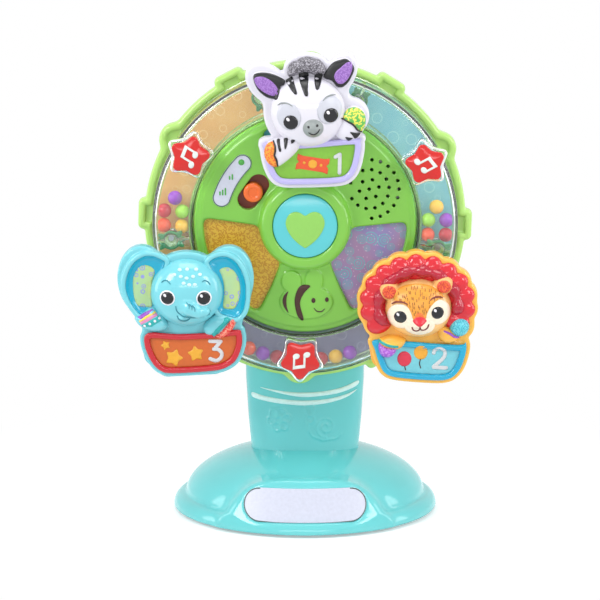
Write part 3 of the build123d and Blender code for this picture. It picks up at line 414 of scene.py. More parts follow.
def add(tree, kind, inputs=None, **settings):
    """A node with its settings, and with its inputs set to values or fed by other nodes."""
    node = tree.nodes.new(kind)
    for name, value in settings.items():
        setattr(node, name, value)
    for name, value in (inputs or {}).items():
        if isinstance(value, bpy.types.Node):
            value = value.outputs[0]
        if isinstance(value, bpy.types.NodeSocket):
            tree.links.new(value, node.inputs[name])
        else:
            node.inputs[name].default_value = value
    return node


# %% Start and finish a material
def new_material(name):
    """An empty material, its node tree, and the place on the object in metres."""
    material = bpy.data.materials.new(name)
    material.use_nodes = True
    tree = material.node_tree
    tree.nodes.clear()
    return material, tree, add(tree, "ShaderNodeTexCoord").outputs["Object"]


def finished(material, inputs, shader="ShaderNodeBsdfPrincipled"):
    """The material, once its last shader has its inputs and feeds the output."""
    tree = material.node_tree
    add(tree, "ShaderNodeOutputMaterial", {"Surface": add(tree, shader, inputs)})
    return material


print("mid grey 808080 is", round(linear("808080")[0], 3), "in linear light")

# %% [markdown]
# ## Moulded ABS
# Most of the toy is injection-moulded ABS, a hard plastic with an IOR near 1.54.
# It is glossy, with a very slight orange peel of about a millimetre from the mould
# and a tone that drifts over some centimetres where the melt flowed. The peel only
# wobbles the highlights, so its bump is a few thousandths of a millimetre deep.

# %% ABS in its colours
def moulded_abs(name, code, rough=0.11, drift=0.05):
    material, tree, place = new_material(name)
    flow = add(tree, "ShaderNodeTexNoise", {"Vector": place, "Scale": 1 / (28 * MM), "Detail": 2.0})
    haze = add(tree, "ShaderNodeTexNoise", {"Vector": place, "Scale": 1 / (9 * MM), "Detail": 3.0})
    peel = add(tree, "ShaderNodeTexNoise", {"Vector": place, "Scale": 1 / (1.6 * MM), "Detail": 1.0})
    return finished(material, {
        "IOR": 1.54, "Metallic": 0.0,
        "Base Color": add(tree, "ShaderNodeMixRGB", {
            "Fac": flow, "Color1": shade(code, 1 - drift), "Color2": shade(code, 1 + drift)}),
        "Roughness": add(tree, "ShaderNodeMapRange", {
            "Value": haze, "To Min": rough - 0.03, "To Max": rough + 0.05}),
        "Normal": add(tree, "ShaderNodeBump", {"Height": peel, "Strength": 0.35, "Distance": 0.004 * MM})})


# %% Colours of the ABS
turquoise_abs = moulded_abs("turquoise_abs", "66CACC")
lime_abs = moulded_abs("lime_abs", "AEDB72")
hub_green_abs = moulded_abs("hub_green_abs", "7DC148")
leaf_green_abs = moulded_abs("leaf_green_abs", "2F7F45", rough=0.3)
white_abs = moulded_abs("white_abs", "DEDCE6", drift=0.02)
lilac_abs = moulded_abs("lilac_abs", "B9B3E6")
red_abs = moulded_abs("red_abs", "C4202E")
star_red_abs = moulded_abs("star_red_abs", "CC1A15")
mane_red_abs = moulded_abs("mane_red_abs", "D3202F")
mane_dark_abs = moulded_abs("mane_dark_abs", "B0142E")
amber_abs = moulded_abs("amber_abs", "F6B84A")
lion_amber_abs = moulded_abs("lion_amber_abs", "F0BE78")
aqua_abs = moulded_abs("aqua_abs", "76CBD6")
deep_aqua_abs = moulded_abs("deep_aqua_abs", "0FA6C6")
blue_abs = moulded_abs("blue_abs", "18A6CC")
button_blue_abs = moulded_abs("button_blue_abs", "58C6CE", rough=0.15)
orange_abs = moulded_abs("orange_abs", "F06A26")
# Dark brown of the switch's slider plate: painted shade of its orange plastic deep in the slot.
painted_slot_shade_abs = moulded_abs("painted_slot_shade_abs", "8A2E18", rough=0.4)
black_abs = moulded_abs("black_abs", "1B1C20", rough=0.4)
eye_gloss = moulded_abs("eye_gloss_ink", "14161C", rough=0.06, drift=0.02)
bead_abs = {name: moulded_abs("bead_%s_abs" % name, code, rough=0.12) for name, code in (
    ("purple", "8E2FB4"), ("red", "C01A2C"), ("green", "9AD336"), ("orange", "F2501E"),
    ("yellow", "F4B92C"))}
print(len(bpy.data.materials), "materials")

# %% [markdown]
# ## Pad-printed ink
# The faces and signs are pad printed: a satin ink, a little rougher than the gloss
# under it, and uneven over a couple of millimetres where the pad lifted.

# %% Inks
def pad_ink(name, code, rough=0.32, lay=0.1):
    material, tree, place = new_material(name)
    cloud = add(tree, "ShaderNodeTexNoise", {"Vector": place, "Scale": 1 / (2 * MM), "Detail": 4.0})
    return finished(material, {
        "IOR": 1.5, "Metallic": 0.0,
        "Base Color": add(tree, "ShaderNodeMixRGB", {
            "Fac": cloud, "Color1": shade(code, 1 - lay), "Color2": shade(code, 1 + lay)}),
        "Roughness": add(tree, "ShaderNodeMapRange", {
            "Value": cloud, "To Min": rough - 0.06, "To Max": rough + 0.08})})


inks = {name: pad_ink("ink_" + name, code) for name, code in (
    ("black", "17181C"), ("grey", "8E9594"), ("pale_grey", "CFD2D4"), ("white", "F2EFF4"),
    ("ticket", "E0542C"), ("gold", "E7A531"), ("panel_green", "7DB83A"), ("panel_blue", "74C6D2"),
    ("panel_orange", "CC6426"), ("cream", "F8E8D0"), ("amber", "E9A03B"), ("brown", "8A4B22"),
    ("nose_red", "D8293B"), ("nose_orange", "E97A33"), ("mouth", "7A2A2A"), ("violet", "9A50C0"),
    ("teal", "1FA9A8"), ("yellow", "E8D24C"), ("pale_aqua", "C9EEF0"), ("line_teal", "1F8496"),
    ("star_yellow", "E6A82E"), ("balloon_red", "D7324A"), ("bee_brown", "3E1D12"), ("note", "DCE4E0"),
    ("stripe", "D6F4F2"), ("outline", "3E5A52"), ("label", "C9CCDC"), ("sound_green", "4DA545"),
    ("pink", "D98BB5"))}
# Pale grey for the discs round the zebra's eyes: painted shade.
painted_eye_shade = pad_ink("ink_painted_eye_shade", "C6C8D2", lay=0.03)
heart_green = pad_ink("heart_green", "90CC5E", rough=0.14, lay=0.04)
print(len(inks) + 2, "inks")

# %% [markdown]
# ## Printed vinyl with small patterns
# The hub's floor carries three printed sheets, and the ears and cuffs carry small
# prints. Voronoi cells give each mark its own place, and a random number per cell
# gives it its own turn or size, so the marks are scattered but never overlap.

# %% Scattered marks
VINYL_ROUGH = 0.35


def scatter(tree, place, spacing, randomness=1.0, space="2D"):
    """Voronoi cells at a spacing in millimetres, and the way from each one's middle."""
    cell = add(tree, "ShaderNodeTexVoronoi", {
        "Vector": place, "Scale": 1 / (spacing * MM), "Randomness": randomness}, voronoi_dimensions=space)
    inner = add(tree, "ShaderNodeVectorMath", {0: place, 1: cell.outputs["Position"]}, operation="SUBTRACT")
    return cell, inner


def flat_place(tree, place):
    """X and Z of the object, without its depth, as the sheet's own X and Y."""
    axes = add(tree, "ShaderNodeSeparateXYZ", {0: place})
    return add(tree, "ShaderNodeCombineXYZ", {"X": axes.outputs["X"], "Y": axes.outputs["Z"]}).outputs[0]


def dashed_vinyl(name, ground, mark, spacing, length, width, layers=2):
    """Short strokes that point every way."""
    material, tree, place = new_material(name)
    place = flat_place(tree, place)
    colour = linear(ground)
    for layer in range(layers):
        moved = add(tree, "ShaderNodeVectorMath", {0: place, 1: (0.37 * layer, 0.23 * layer, 0.0)})
        cell, inner = scatter(tree, moved.outputs[0], spacing)
        chance = add(tree, "ShaderNodeSeparateColor", {0: cell.outputs["Color"]})
        angle = add(tree, "ShaderNodeMath", {0: chance, 1: math.tau}, operation="MULTIPLY")
        turned = add(tree, "ShaderNodeVectorRotate", {"Vector": inner, "Axis": (0.0, 0.0, 1.0),
                                                      "Angle": angle}, rotation_type="AXIS_ANGLE")
        axes = add(tree, "ShaderNodeSeparateXYZ", {0: turned})
        reach = [add(tree, "ShaderNodeMath", {0: axes.outputs[i]}, operation="ABSOLUTE") for i in (0, 1)]
        inside = [add(tree, "ShaderNodeMath", {0: far, 1: size / 2 * MM}, operation="LESS_THAN")
                  for far, size in zip(reach, (length, width))]
        mask = add(tree, "ShaderNodeMath", {0: inside[0], 1: inside[1]}, operation="MULTIPLY")
        colour = add(tree, "ShaderNodeMixRGB", {"Fac": mask, "Color1": colour, "Color2": linear(mark)})
    return finished(material, {"IOR": 1.5, "Roughness": VINYL_ROUGH, "Base Color": colour})


# %% Rings round scattered points
def ringed_vinyl(name, ground, second_ground, ring, spacing, radii, speck=None, flat=True):
    """Rings about random points, on a ground that drifts between two colours."""
    material, tree, place = new_material(name)
    if flat:
        place = flat_place(tree, place)
    space = "2D" if flat else "3D"
    drift = add(tree, "ShaderNodeTexNoise", {"Vector": place, "Scale": 1 / (22 * MM), "Detail": 2.0})
    spread = add(tree, "ShaderNodeMapRange", {"Value": drift, "From Min": 0.38, "From Max": 0.62})
    colour = add(tree, "ShaderNodeMixRGB", {
        "Fac": spread, "Color1": linear(ground), "Color2": linear(second_ground)})
    cell, inner = scatter(tree, place, spacing, 0.75, space)
    away = add(tree, "ShaderNodeVectorMath", {0: inner}, operation="LENGTH").outputs["Value"]
    chance = add(tree, "ShaderNodeSeparateColor", {0: cell.outputs["Color"]})
    growth = add(tree, "ShaderNodeMath", {0: chance, 1: 0.75}, operation="ADD")
    grown = add(tree, "ShaderNodeMath", {0: away, 1: growth}, operation="MULTIPLY")
    for near, far in radii:
        beyond = add(tree, "ShaderNodeMath", {0: grown, 1: near * MM}, operation="GREATER_THAN")
        below = add(tree, "ShaderNodeMath", {0: grown, 1: far * MM}, operation="LESS_THAN")
        band = add(tree, "ShaderNodeMath", {0: beyond, 1: below}, operation="MULTIPLY")
        colour = add(tree, "ShaderNodeMixRGB", {"Fac": band, "Color1": colour, "Color2": linear(ring)})
    if speck:
        dust = scatter(tree, place, spacing * 0.42, space=space)[0]
        dot = add(tree, "ShaderNodeMath", {0: dust.outputs["Distance"], 1: 0.085}, operation="LESS_THAN")
        colour = add(tree, "ShaderNodeMixRGB", {"Fac": dot, "Color1": colour, "Color2": linear(speck)})
    return finished(material, {"IOR": 1.5, "Roughness": VINYL_ROUGH, "Base Color": colour})


# %% Sheets and small prints
dash_sheet = dashed_vinyl("yellow_dash_vinyl", "DFB23A", "C88A22", 2.6, 2.2, 0.6, layers=3)
ring_sheet = ringed_vinyl("purple_ring_vinyl", "A685B0", "8C84BC", "6FAFBE", 8.2,
                          ((0.5, 1.0), (1.7, 2.2), (3.0, 3.5)), speck="D3B7D0")
top_sheet = ringed_vinyl("blue_ring_vinyl", "5FB4C4", "4FA3BC", "88CBD2", 8.0, ((1.4, 2.0), (2.8, 3.3)))
ear_sheet = ringed_vinyl("ear_dot_vinyl", "B9D07E", "A9CE9A", "8E97D4", 4.6, ((0.0, 0.55), (1.0, 1.5)),
                         speck="C29BB8", flat=False)
channel_sheets = [
    ringed_vinyl("orange_sheet", "D9A55A", "D49A4C", "E3BC7E", 11.0, ((2.4, 3.0),)),
    ringed_vinyl("teal_sheet", "7FC3C6", "6FB8C4", "96D0D0", 11.0, ((2.4, 3.0),)),
    ringed_vinyl("violet_sheet", "8E8BAE", "8482A8", "A4A2C0", 11.0, ((2.4, 3.0),))]
ear_violet = dashed_vinyl("ear_violet_vinyl", "8E62B4", "AA80CC", 1.6, 1.5, 0.35)
ear_hatch = dashed_vinyl("ear_hatch_vinyl", "E8662F", "C8232E", 1.5, 1.5, 0.4)
hoof_print = dashed_vinyl("hoof_orange_vinyl", "F39A2E", "E2592B", 1.9, 1.1, 0.6)
green_hand = dashed_vinyl("hand_green_vinyl", "5DB653", "E6DE5A", 2.6, 2.2, 0.9)
red_hand = dashed_vinyl("hand_red_vinyl", "E0403A", "F59A84", 1.7, 1.6, 0.5)
aqua_paw = dashed_vinyl("paw_aqua_vinyl", "63C8D6", "2FA3B8", 2.1, 2.6, 0.4)
violet_paw = dashed_vinyl("paw_violet_vinyl", "A65ACB", "C98BE0", 2.0, 1.2, 0.6)
print(len(bpy.data.materials), "materials so far")

# %% [markdown]
# ## Clear polycarbonate
# The bead channel and the star seats are clear polycarbonate, IOR 1.585. Light from
# the lamps has to reach the beads through it. Real caustics would take hours, so
# rays that only ask a lamp for light pass straight through, and all others bend.

# %% Polycarbonate and PVC
def clear_plastic(name, tint, rough=0.02, ior=1.585):
    material, tree, place = new_material(name)
    ripple = add(tree, "ShaderNodeTexNoise", {"Vector": place, "Scale": 1 / (7 * MM), "Detail": 1.0})
    glass = add(tree, "ShaderNodeBsdfPrincipled", {
        "Base Color": linear(tint), "Transmission Weight": 0.985, "Roughness": rough, "IOR": ior,
        "Normal": add(tree, "ShaderNodeBump", {"Height": ripple, "Strength": 0.3, "Distance": 0.02 * MM})})
    through = add(tree, "ShaderNodeBsdfTransparent", {"Color": shade(tint, 0.97)})
    shadow = add(tree, "ShaderNodeLightPath").outputs["Is Shadow Ray"]
    return finished(material, {0: shadow, 1: glass, 2: through}, "ShaderNodeMixShader")


clear_pc = clear_plastic("clear_polycarbonate", "F4F8F8")
soft_pvc = clear_plastic("suction_pvc", "D5EDF2", rough=0.12, ior=1.53)
print("clear plastics:", clear_pc.name, soft_pvc.name)

# %% [markdown]
# ## Glitter, metals and what lies inside
# The zebra's mane is glitter paint: grey lacquer full of flakes that each mirror
# their own way. Screws are zinc-plated steel, and the contacts and pins are nickel
# plated. Both have the fine grain that polishing leaves, and their own colour's tone.

# %% Glitter, metals and the rest
def glitter_paint(name, ground, flake, size):
    material, tree, place = new_material(name)
    flakes = add(tree, "ShaderNodeTexVoronoi", {"Vector": place, "Scale": 1 / (size * MM)})
    lit = add(tree, "ShaderNodeSeparateColor", {0: flakes.outputs["Color"]})
    bright = add(tree, "ShaderNodeMapRange", {"Value": lit, "From Min": 0.45, "From Max": 1.0})
    return finished(material, {
        "IOR": 1.5,
        "Base Color": add(tree, "ShaderNodeMixRGB", {
            "Fac": bright, "Color1": linear(ground), "Color2": linear(flake)}),
        "Roughness": add(tree, "ShaderNodeMapRange", {
            "Value": lit.outputs[1], "To Min": 0.15, "To Max": 0.5}),
        "Normal": add(tree, "ShaderNodeBump", {
            "Height": lit.outputs[2], "Strength": 0.6, "Distance": 0.15 * MM})})


def brushed_metal(name, code, rough=0.3):
    material, tree, place = new_material(name)
    long_way = add(tree, "ShaderNodeMapping", {"Vector": place, "Scale": (1.0, 12.0, 12.0)})
    grain = add(tree, "ShaderNodeTexNoise", {"Vector": long_way, "Scale": 1 / (2 * MM), "Detail": 3.0})
    return finished(material, {
        "Metallic": 1.0,
        "Base Color": add(tree, "ShaderNodeMixRGB", {
            "Fac": grain, "Color1": shade(code, 0.8), "Color2": shade(code, 1.1)}),
        "Roughness": add(tree, "ShaderNodeMapRange", {
            "Value": grain, "To Min": rough - 0.1, "To Max": rough + 0.15})})


# %% Paint, metals and inside parts
mane_glitter = glitter_paint("glitter_paint", "56535A", "B9B6C0", 0.6)
zinc_steel = brushed_metal("zinc_steel", "B9BDC2")
nickel_steel = brushed_metal("nickel_steel", "D3CFC6", rough=0.22)
board_lacquer = pad_ink("board_lacquer", "1F6B3A", rough=0.4)
cone_paper = pad_ink("cone_paper", "2A2A2C", rough=0.8)
cell_jacket = pad_ink("cell_jacket", "2C3A4A", rough=0.35)
silicone = moulded_abs("grey_silicone", "B8BABD", rough=0.5)
print(len(bpy.data.materials), "materials in all")

# %% [markdown]
# ## Turned and cut pieces
# Round pieces, such as the clear channel, are turned: a profile in radius and Y goes
# round the axle. Flat clear pieces are cut: an outline is given thickness along Y.
# Both give exact edges, which matter on clear plastic, where every ripple shows.

# %% Turn
SHARP = math.radians(38)       # edges that bend more than this stay crisp


def turn(name, body, profile, material, place=(0.0, 0.0), segments=96):
    """A closed profile of (radius, y) goes round an axis along Y."""
    profile = np.array(profile, float)
    angles = np.linspace(0, 2 * np.pi, segments, endpoint=False)
    around = np.stack([np.cos(angles), np.sin(angles)], 1)
    vertices = [(radius * c, level, radius * s) for radius, level in profile for c, s in around]
    faces, count = [], len(profile)
    for i in range(count):
        j = (i + 1) % count
        if profile[i, 0] < 1e-6 and profile[j, 0] < 1e-6:
            continue
        for k in range(segments):
            n = (k + 1) % segments
            faces.append((i * segments + k, j * segments + k, j * segments + n, i * segments + n))
    piece = make_mesh(name, body, vertices, faces, material, place)
    work = bmesh.new()
    work.from_mesh(piece.data)
    bmesh.ops.remove_doubles(work, verts=work.verts, dist=1e-7)
    bmesh.ops.dissolve_degenerate(work, edges=work.edges, dist=1e-7)
    bmesh.ops.recalc_face_normals(work, faces=work.faces)
    work.to_mesh(piece.data)
    work.free()
    piece.data.set_sharp_from_angle(angle=SHARP)
    print(name, "turned,", len(piece.data.polygons), "faces")
    return piece


# %% Rounded profiles
def bend(start, middle, end, t):
    """A point of the arc that leaves start and reaches end, both towards middle."""
    return (1 - t) ** 2 * start + 2 * t * (1 - t) * middle + t ** 2 * end


def rounded(corners, steps=6):
    """A profile through corners given as (radius, y, rounding)."""
    p = [np.array(c[:2], float) for c in corners]
    out = []
    for i, (*_, rounding) in enumerate(corners):
        before, here, after = p[i - 1], p[i], p[(i + 1) % len(p)]
        if rounding <= 0:
            out.append(here)
            continue
        a, b = before - here, after - here
        a, b = a / np.linalg.norm(a), b / np.linalg.norm(b)
        reach = rounding / math.tan(math.acos(np.clip(a @ b, -1, 1)) / 2)
        start, end = here + a * reach, here + b * reach
        middle = here * 0.85 + (start + end) * 0.075
        out += [bend(start, middle, end, t) for t in np.linspace(0, 1, steps)]
    return out


# %% Cut
def cut(name, body, outline, back, front, material, place, edge):
    """An outline given thickness along Y, with a small round on its front edge."""
    outline = np.asarray(outline, float)
    points, triangles = fill(outline, 3.0)
    size, count = len(points), len(outline)
    after = np.roll(outline, -1, 0)
    normal = after - np.roll(outline, 1, 0)
    normal = np.stack([normal[:, 1], -normal[:, 0]], 1) / np.linalg.norm(normal, axis=1)[:, None]
    area = (outline[:, 0] * after[:, 1] - after[:, 0] * outline[:, 1]).sum()
    normal *= 1 if area > 0 else -1
    vertices = [(x, back, z) for x, z in points]
    slopes = [math.radians(t) for t in np.linspace(0, 90, 5)]
    for slope in slopes:
        level = front + edge * (1 - math.sin(slope))
        vertices += [(x, level, z) for x, z in outline - normal * edge * (1 - math.cos(slope))]
    top = len(vertices)
    vertices += [(x, front, z) for x, z in points[count:]]
    last = top - count
    faces = []
    for a, b, c in triangles:
        loop = (a, c, b) if anticlockwise(points, a, b, c) else (a, b, c)
        faces.append(loop)
        faces.append(tuple(last + i if i < count else top + i - count for i in loop[::-1]))
    starts = [0] + [size + i * count for i in range(len(slopes))]
    for low, high in zip(starts, starts[1:]):
        for k in range(count):
            n = (k + 1) % count
            face = (low + k, low + n, high + n, high + k)
            faces.append(face if area < 0 else face[::-1])
    piece = make_mesh(name, body, vertices, faces, material, place)
    piece.data.set_sharp_from_angle(angle=SHARP)
    print(name, "cut,", len(faces), "faces")
    return piece


# %% [markdown]
# ## The base
# A round foot with a low dome, and in front of it a leaning bib for the label. All
# of it is one moulding, so the bib melts into the dome and the foot with a wide
# fillet, which is where the long soft highlights of the base come from.

# %% Base shell
FLANGE_RADIUS, FLANGE_TOP, FLANGE_ROUND = 84.0, 10.3, 7.4
DOME_TOP, DOME_EDGE = 42.0, 76.2
BIB_AXIS, BIB_RADIUS, BIB_SLOPE = 42.6, 118.0, math.tan(math.radians(26))
LABEL_Z, LABEL_HALF, LABEL_TALL = 18.4, 38.5, 9.8
BASE_WALL, BASE_BOTTOM = 2.6, 1.5
DOME_POWER = 1.96
BIB_TOP, BIB_BACK = 33.2, -38.0
BIB_HEIGHTS = [0, 9, 12, 18.4, 25, 29, 31.5, BIB_TOP]
BIB_HALVES = [55, 52.5, 50, 45.6, 39.5, 33.5, 27, 16]
SCREW_SPOTS = [polar(71.0, a) for a in (45, 135, 225, 315)]
SCREW_WALL, SCREW_SEAT = 3.6, 4.1
CUP_HOLE, CUP_HOLE_TOP = 9.8, 20.0


def foot_and_dome(x, y, z):
    r = np.hypot(x, y)
    flange = corner(r - (FLANGE_RADIUS - FLANGE_ROUND), z - (FLANGE_TOP - FLANGE_ROUND)) - FLANGE_ROUND
    rise, high = DOME_TOP - FLANGE_TOP, np.maximum(z - FLANGE_TOP, 0)
    near = np.sqrt(np.maximum((r / DOME_EDGE) ** DOME_POWER + (high / rise) ** 2, 1e-4))
    steep = np.hypot(0.98 * r ** 0.96 / DOME_EDGE ** DOME_POWER, high / rise ** 2) / near
    return join(flange, (near - 1) / np.maximum(steep, 0.008), 1.4)


# %% Bib of the base
def bib_face(x, y, z, sunk=0.0):
    """The bib's leaning front, part of a wide cone."""
    return (np.hypot(x, y - BIB_AXIS) - BIB_RADIUS + sunk - (LABEL_Z - z) * BIB_SLOPE) * 0.9


def bib(x, y, z):
    """The leaning face, and the bell-shaped sides that spread towards the foot."""
    side = (np.abs(x) - np.interp(z, BIB_HEIGHTS, BIB_HALVES)) * 0.72
    body = meet(meet(bib_face(x, y, z), side, 4.5), z - BIB_TOP, 2.5)
    return np.maximum(np.maximum(body, y - BIB_BACK), np.hypot(x, y) - FLANGE_RADIUS + 0.5)


def label_spot(x, z, growth):
    return np.hypot(np.maximum(np.abs(x) - LABEL_HALF + LABEL_TALL, 0), z - LABEL_Z) - LABEL_TALL - growth


# %% Base moulding
def base_moulding(x, y, z):
    plain = foot_and_dome(x, y, z)
    outside = join(plain, bib(x, y, z), 4.0)
    pocket = np.maximum(label_spot(x, z, 0.3), np.maximum(-bib_face(x, y, z, 0.45), y))
    outside = carve(outside, pocket, 0.3)
    room = plain + BASE_WALL
    for px, py in SCREW_SPOTS:
        room = np.maximum(room, -np.maximum(np.hypot(x - px, y - py) - SCREW_WALL, SCREW_SEAT - z))
    cup_hole = np.maximum(np.hypot(x, y) - CUP_HOLE, CUP_HOLE_TOP - z)
    return np.maximum(np.maximum(outside, BASE_BOTTOM - z), -np.minimum(room, cup_hole))


# %% Skin the base and line its label
base_skin = skin("base_skin", "stand", base_moulding, (-86, -86, 0.7), (86, 86, 43.4), turquoise_abs,
                 step=STEP * 1.3)
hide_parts("base_shell")

RIM_INSET = 0.35               # the printed line lies this far inside a label's edge
LABEL_ARC = 20                 # points on each round end
label_edge = []
for side, start in ((1, -90), (-1, 90)):
    arc = [polar(LABEL_TALL - RIM_INSET, a) for a in np.linspace(start, start + 180, LABEL_ARC)]
    label_edge += laid(arc, side * (LABEL_HALF - LABEL_TALL), LABEL_Z)


def label_face(x, y, z):
    return bib_face(x, y, z) + 0.02


for number, run in enumerate((label_edge[:LABEL_ARC + 1], label_edge[LABEL_ARC:] + label_edge[:1])):
    film("label_rim_%d" % number, "stand", [stroke(run, 0.6, smooth_line=False)], label_face,
         inks["outline"], spacing=1.5)

# %% [markdown]
# ## The column
# The column is round at the foot and flat behind the wheel, in two halves that are
# screwed together. Its joint is a fine line on each side. On its front lie a low
# flower and a snail, moulded half a millimetre proud, and two printed swooshes.

# %% Column sizes and relief
COLUMN_Z = [34.0, 59.1, 84.2, 152.4]
COLUMN_HALF = [34.0, 36.25, 37.7, 38.5]
COLUMN_DEEP = [22.5, 22.25, 22.0, 22.0]
COLUMN_MID = [1.5, 2.25, 3.0, 3.0]
COLUMN_WALL = 2.5
COLUMN_SEAM = 1.85             # the front half ends here, the rear one starts a little behind
RELIEF_HEIGHT = 0.6
FLOWER = (-16.5, 60.5)
SNAIL = (13.5, 56.0)
SNAIL_COIL = laid([polar(1.0 + 0.0095 * a, a) for a in range(0, 631, 18)], *SNAIL)
SNAIL_FOOT = laid([(-11.6, 2.6), (-11.4, -2), (-8.6, -6), (-2, -8.6), (6, -8.2), (9.6, -5.6)], *SNAIL)
SNAIL_HORNS = [laid(horn, *SNAIL) for horn in (
    [(-11.6, 7.6), (-13.4, 12.6)], [(-9.0, 7.6), (-7.4, 13.2)])]


def relief(x, z):
    """Distance to the edge of the moulded flower and snail."""
    fx, fz = FLOWER
    marks = np.abs(np.hypot(x - fx, z - fz) - 1.9) - 0.6
    for i in range(6):
        px, pz = polar(5.0, 60 * i + 12)
        marks = np.minimum(marks, np.abs(np.hypot(x - fx - px, z - fz - pz) - 2.7) - 0.6)
    marks = np.minimum(marks, near_line(x, z, SNAIL_COIL) - 0.5)
    for run in [SNAIL_FOOT] + SNAIL_HORNS:
        marks = np.minimum(marks, near_line(x, z, run) - 0.55)
    sx, sz = SNAIL
    return np.minimum(marks, np.abs(np.hypot(x - sx + 10.2, z - sz - 5.2) - 2.6) - 0.55)


# %% Column fields
def column(x, y, z, wall=0.0):
    half = np.interp(z, COLUMN_Z, COLUMN_HALF) - wall
    deep = np.interp(z, COLUMN_Z, COLUMN_DEEP) - wall
    v = y - np.interp(z, COLUMN_Z, COLUMN_MID)
    near = np.maximum(np.hypot(x / half, v / deep), TINY)
    return near * (near - 1) / np.maximum(np.hypot(x / half ** 2, v / deep ** 2), 1e-4)


def column_outside(x, y, z):
    raised = np.clip(0.5 - relief(x, z) / 0.7, 0, 1) * RELIEF_HEIGHT
    return column(x, y, z) - np.where(y < 0, raised, 0)


def column_shell(x, y, z):
    body = np.maximum(column_outside(x, y, z), -column(x, y, z, COLUMN_WALL))
    body = np.maximum(body, np.abs(z - 100.0) - 65.95)
    housing = np.maximum(66.1 - np.hypot(x, z - AXLE_Z), -30.5 - y)
    return np.maximum(body, housing)


# %% Skin the column and print its swooshes
column_face = skin("column_face", "stand",
                   lambda x, y, z: np.maximum(column_shell(x, y, z), y - COLUMN_SEAM),
                   (-40, -35, 33), (40, 3, 166), turquoise_abs, step=STEP * 1.25)
column_rear = skin("column_rear", "stand",
                   lambda x, y, z: np.maximum(column_shell(x, y, z), 2.0 - y),
                   (-40, 1, 33), (40, 35, 166), turquoise_abs, step=STEP * 1.4)
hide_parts("column_front")
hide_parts("column_back")

swoosh_high = [(-28.7, 80.2), (-14, 78.9), (-2, 78.4), (12, 79.0), (24, 80.9), (33.4, 83.6), (33.4, 80.8),
               (24, 77.8), (12, 76.2), (-2, 75.6), (-14, 77.2)]
swoosh_low = [(-33.4, 76.0), (-26, 74.9), (-12, 73.6), (0.8, 73.2), (14, 73.9), (26, 75.9), (33.2, 78.0),
              (26, 73.9), (14, 71.3), (0.8, 70.2), (-12, 70.6), (-26, 71.8), (-33.4, 73.0)]
film("swooshes", "stand", [curve(swoosh_high), curve(swoosh_low)], column_outside, inks["stripe"],
     spacing=1.6, back=8.0)

# %% [markdown]
# ## Inside and behind
# Behind the wheel a round cup holds the batteries, under a screwed door. These
# pieces keep the model's own shape, and only take their finish here.

# %% Finish the model's own pieces
def finish_as(material, *names):
    for name in names:
        piece = nodes[name]
        piece.data.materials.clear()
        piece.data.materials.append(material)
        piece.data.set_sharp_from_angle(angle=math.radians(30))


finish_as(turquoise_abs, "back_housing", "battery_door", "base_bottom_plate")
finish_as(soft_pvc, "suction_cup")
finish_as(white_abs, "cup_retainer", "spindle")
finish_as(zinc_steel, "base_screws", "hub_screws", "battery_door_screw", "wheel_screws")
finish_as(inks["label"], "base_label")
finish_as(cell_jacket, "batteries")
finish_as(nickel_steel, "battery_contacts")
finish_as(black_abs, "slide_switch")
finish_as(cone_paper, "speaker")
finish_as(board_lacquer, "circuit_board")
finish_as(silicone, "button_cushion")
finish_as(nickel_steel, "gondola_pins")
print(sum(len(p.data.polygons) for p in (base_skin, column_face, column_rear)), "faces on the stand")

# %% [markdown]
# ## The hub
# The hub stands still while the wheel turns round it. Its green face has a plate, a
# round lip, three raised lobes between the printed windows, and a ring like a
# doughnut for the heart button. A bee lies in low relief under the button.

# %% Hub face
LEFT_WINDOW = [(-28.0, -1.5), (-80.0, 6.0), (-80.0, -80.0), (-41.0, -80.0), (-21.0, -40.0), (-13.0, -20.0)]
RIGHT_WINDOW = [(28.0, -2.6), (80.0, 2.6), (80.0, -80.0), (41.0, -80.0), (21.5, -40.0), (13.0, -20.0)]
TOP_WINDOW = [(-9.0, 26.0), (-38.0, 75.0), (38.0, 75.0), (9.0, 26.0)]
RING_RADIUS, BUTTON_RADIUS = 28.2, 20.0
RING_TOP = HUB_FLOOR - 12.5
RING_MIDDLE, RING_HALF = 24.3, 4.6
BUTTON_HOLE = 20.35
LOBE_BACK = -38.0
LIP_RADIUS, LIP_FRONT = 66.9, -43.2
WINDOW_EDGE = 63.7
HOLE_RADIUS = 1.15
SLOT_HALF = 6.45
SPEAKER = (39.9, 21.9)
SWITCH, SWITCH_TURN = (-32.4, 19.9), 54.5
HOLES = [(0.0, 0.0)] + [polar(6.2, 60 * i + 12) for i in range(6)] \
    + [polar(12.4, 26 * i + 5) for i in range(-6, 7)] + [polar(18.6, 17 * i) for i in range(-5, 6)]
SWITCH_ENDS = laid([polar(-5.5, SWITCH_TURN), polar(6.0, SWITCH_TURN)], *SWITCH)


# %% Windows, bee and button ring
def window(x, z, corners):
    r = np.hypot(x, z)
    return meet(meet(polygon(x, z, corners), RING_RADIUS - r, 5.0), r - WINDOW_EDGE, 5.0)


def bee_flat(x, z):
    body = oval(x, z, 0.8, -49.6, 16.6, 11.0)
    return body, np.minimum(oval(x, z, -8.6, -36.4, 6.4, 6.8), oval(x, z, 5.6, -36.0, 5.8, 7.4))


def button_ring(r, y):
    """The doughnut round the button: steep inside, sloping away outside."""
    u, v = (r - RING_MIDDLE) / RING_HALF, (y - LOBE_FRONT + 0.2) / (RING_TOP - LOBE_FRONT)
    slope = np.where(u < 0, 0.6 * u ** 6, u ** 2)
    ring = (np.maximum(slope + np.maximum(v, 0) ** 2.2, 1e-4) ** 0.5 - 1) * 3.6
    ring = np.where(y > LOBE_FRONT, r - 28.3, np.maximum(ring, r - 29.2))
    return np.maximum(np.maximum(ring, BUTTON_HOLE - r), y - HUB_PLATE)


